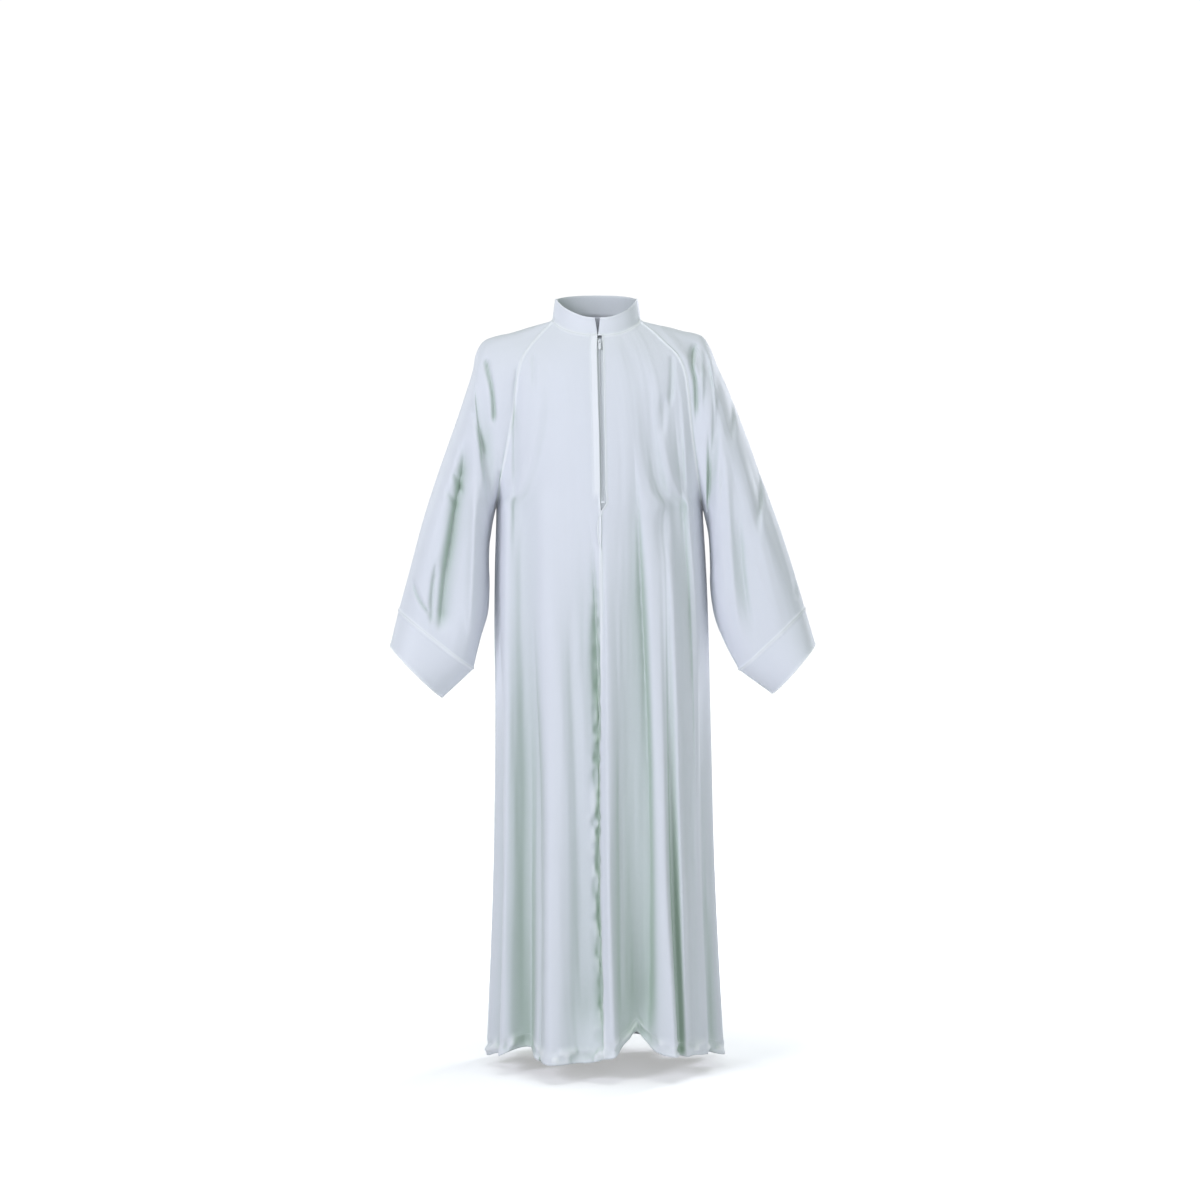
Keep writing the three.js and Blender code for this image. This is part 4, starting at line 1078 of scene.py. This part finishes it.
class ALB_OT_zip(bpy.types.Operator):
    """Makes the zip: tapes, coils, slider, pull tab and stop"""

    bl_idname = "alb.zip"
    bl_label = "Zip"

    def execute(self, context):
        cloth = context.scene.alb_cloth
        tape = cloth_material("Tape cloth", cloth.tape_colour, cloth.tape_colour, TAPE_FINISH)
        for name in ("zip_tape_left", "zip_tape_right"):
            make_piece(Fabric(name), TAPE_WALL, tape)
        nylon = plain_material("Zip coil", COIL_FINISH)
        coil = bpy.data.curves.new("zip_coils", "CURVE")
        for name, side in (("zip_tape_left", "right"), ("zip_tape_right", "left")):
            points, normals = FABRIC[name].inside(side, COIL_INSET)
            stops = run_lengths(points)
            turns = int(stops[-1] / COIL_PITCH)
            at = np.linspace(0, stops[-1], turns * COIL_STEPS)
            angle = np.arange(len(at)) * 2 * math.pi / COIL_STEPS
            place, out = read_line(points, stops, at), read_line(normals, stops, at)
            place += out * (COIL_DEPTH * (COIL_LIFT + np.sin(angle)))[:, None]
            place[:, 0] += COIL_WIDTH * np.cos(angle)
            thread_line(coil, place, COIL_WIRE)
        thread_piece("zip_coils", coil, nylon)
        enamel = plain_material("Zip enamel", METAL_FINISH)
        for name, body in (
            ("zip_slider", "garment"), ("zip_stop", "garment"), ("zip_pull_tab", "pull_tab")
        ):
            mesh = merged_copy(name)
            sharp = [edge for edge in mesh.edges if edge.calc_face_angle(0) > METAL_SHARP]
            bmesh.ops.bevel(
                mesh, geom=sharp, offset=METAL_EDGE, offset_type="OFFSET", affect="EDGES",
                segments=2, profile=0.5, material=-1, clamp_overlap=True,
            )
            piece = mesh_object(mesh, name + "_finished", enamel)
            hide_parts(name)
            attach(piece, body)
        return {"FINISHED"}


class ALB_OT_stitches(bpy.types.Operator):
    """Sews the stitches along the hem, cuffs, collar and placket"""

    bl_idname = "alb.stitches"
    bl_label = "Stitches"

    def execute(self, context):
        seams = context.scene.alb_seams
        material = plain_material("Thread", THREAD_FINISH)
        rows = {
            "hem": [(name, "base", seams.hem - HEM_INSET) for name in PANELS],
            "cuffs": [
                (name, side, BAND_INSET)
                for name in ("cuff_left", "cuff_right") for side in ("top", "base")
            ],
            "collar": [("collar", "top", BAND_INSET), ("collar", "base", COLLAR_INSET)],
            "placket": [("front_left", "right", seams.placket - PLACKET_INSET)],
        }
        for part, places in rows.items():
            curve = bpy.data.curves.new("stitches_" + part, "CURVE")
            for name, side, depth in places:
                points, normals = FABRIC[name].inside(side, depth)
                if part == "placket":
                    over_zip = points[:, 2] > ZIP_FOOT
                    points, normals = points[over_zip], normals[over_zip]
                stitches(curve, (points, normals), seams)
            thread_piece("stitches_" + part, curve, material)
        return {"FINISHED"}


def floor_material():
    """Pale floor that glows whiter for the camera the farther it is from the garment: its lower
    glow near the garment is a painted shadow.
    """
    material, tree, shader = new_material("Floor")
    place = add_node(tree, "TexCoord", {})["Object"]
    flat = add_node(tree, "VectorMath", {0: place, 1: (1, 1, 0)}, operation="MULTIPLY")["Vector"]
    away = add_node(tree, "VectorMath", {0: flat}, operation="LENGTH")["Value"]
    # Painted shadow: the floor's glow is kept low near the garment and rises farther off
    reach = dict(zip(("From Min", "From Max", "To Min", "To Max"), PAINTED_SHADOW_REACH + FLOOR_GLOW_AND_SHADOW))
    shadowed_glow = add_node(tree, "MapRange", {"Value": away, **reach}, interpolation_type="SMOOTHSTEP")
    seen = add_node(tree, "LightPath", {})["Is Camera Ray"]
    glow_and_shadow = add_node(tree, "Math", {0: seen, 1: shadowed_glow["Result"]}, operation="MULTIPLY")["Value"]
    fill(tree, shader, {
        "Base Color": (*FLOOR_COLOUR, 1), "Roughness": 0.9, "Specular IOR Level": 0.0,
        "Emission Color": (1, 1, 1, 1), "Emission Strength": glow_and_shadow,
    })
    return material


def studio():
    """A world that the camera sees as white, and that fills the shadows softly."""
    world = bpy.data.worlds.new("Studio")
    world.use_nodes = True
    tree = world.node_tree
    white = tree.nodes["Background"]
    fill(tree, white, {"Color": (1, 1, 1, 1), "Strength": BACKDROP})
    soft = add_node(tree, "Background", {"Color": (*FILL_COLOUR, 1), "Strength": FILL_STRENGTH})
    seen = add_node(tree, "LightPath", {})["Is Camera Ray"]
    both = {"Fac": seen, 1: soft["Background"], 2: white.outputs["Background"]}
    mix = add_node(tree, "MixShader", both)
    fill(tree, tree.nodes["World Output"], {"Surface": mix["Shader"]})
    return world


def area_light(name, place, towards, size, power, colour):
    """A soft rectangular light."""
    light = bpy.data.lights.new(name, "AREA")
    light.shape = "RECTANGLE"
    light.size, light.size_y = size
    light.energy = power
    light.color = colour
    lamp = placed(name, light)
    lamp.location = place
    lamp.rotation_euler = (Vector(towards) - Vector(place)).to_track_quat("-Z", "Y").to_euler()


class ALB_OT_stage(bpy.types.Operator):
    """Sets the floor, the soft lights and the camera"""

    bl_idname = "alb.stage"
    bl_label = "Stage"

    def execute(self, context):
        stage = context.scene.alb_stage
        scene = context.scene
        scene.view_settings.view_transform = "Standard"
        mesh = bmesh.new()
        bmesh.ops.create_grid(
            mesh, x_segments=1, y_segments=1, size=FLOOR_SIZE,
            matrix=Matrix.Translation((0, 0, CAD_BOX[0][2] - stage.floor_drop)),
        )
        floor = mesh_object(mesh, "Floor", floor_material())
        scene.world = studio()
        for name, place, towards, size, power, colour in LIGHTS:
            area_light(name, place, towards, size, power, colour)

        camera = bpy.data.cameras.new("Camera")
        camera.sensor_width = SENSOR
        camera.lens = SENSOR * stage.camera_distance / stage.view_width
        eye = placed("Camera", camera)
        eye.location = (CAMERA_SIDE, -stage.camera_distance, stage.camera_height)
        eye.rotation_euler = (math.pi / 2, 0, 0)
        scene.camera = eye
        return {"FINISHED"}


class ALB_PT_panel(bpy.types.Panel):
    """Lists the alb's pieces"""

    bl_idname = "ALB_PT_panel"
    bl_label = "Alb"
    bl_space_type = "VIEW_3D"
    bl_region_type = "UI"
    bl_category = "Alb"

    def draw(self, context):
        for operator in OPERATORS:
            self.layout.operator(operator.bl_idname)


OPERATORS = (
    ALB_OT_body, ALB_OT_sleeves, ALB_OT_bands, ALB_OT_zip, ALB_OT_stitches, ALB_OT_stage
)


def register():
    for group in SETTING_GROUPS.values():
        bpy.utils.register_class(group)
    for operator in (*OPERATORS, ALB_PT_panel):
        bpy.utils.register_class(operator)
    for name, group in SETTING_GROUPS.items():
        setattr(bpy.types.Scene, name, PointerProperty(type=group))


def unregister():
    for name in SETTING_GROUPS:
        delattr(bpy.types.Scene, name)
    for operator in (ALB_PT_panel, *reversed(OPERATORS)):
        bpy.utils.unregister_class(operator)
    for group in SETTING_GROUPS.values():
        bpy.utils.unregister_class(group)


def main():
    register()
    bpy.ops.alb.body()
    bpy.ops.alb.sleeves()
    bpy.ops.alb.bands()
    bpy.ops.alb.zip()
    bpy.ops.alb.stitches()
    bpy.ops.alb.stage()


if __name__ == "__main__":
    main()
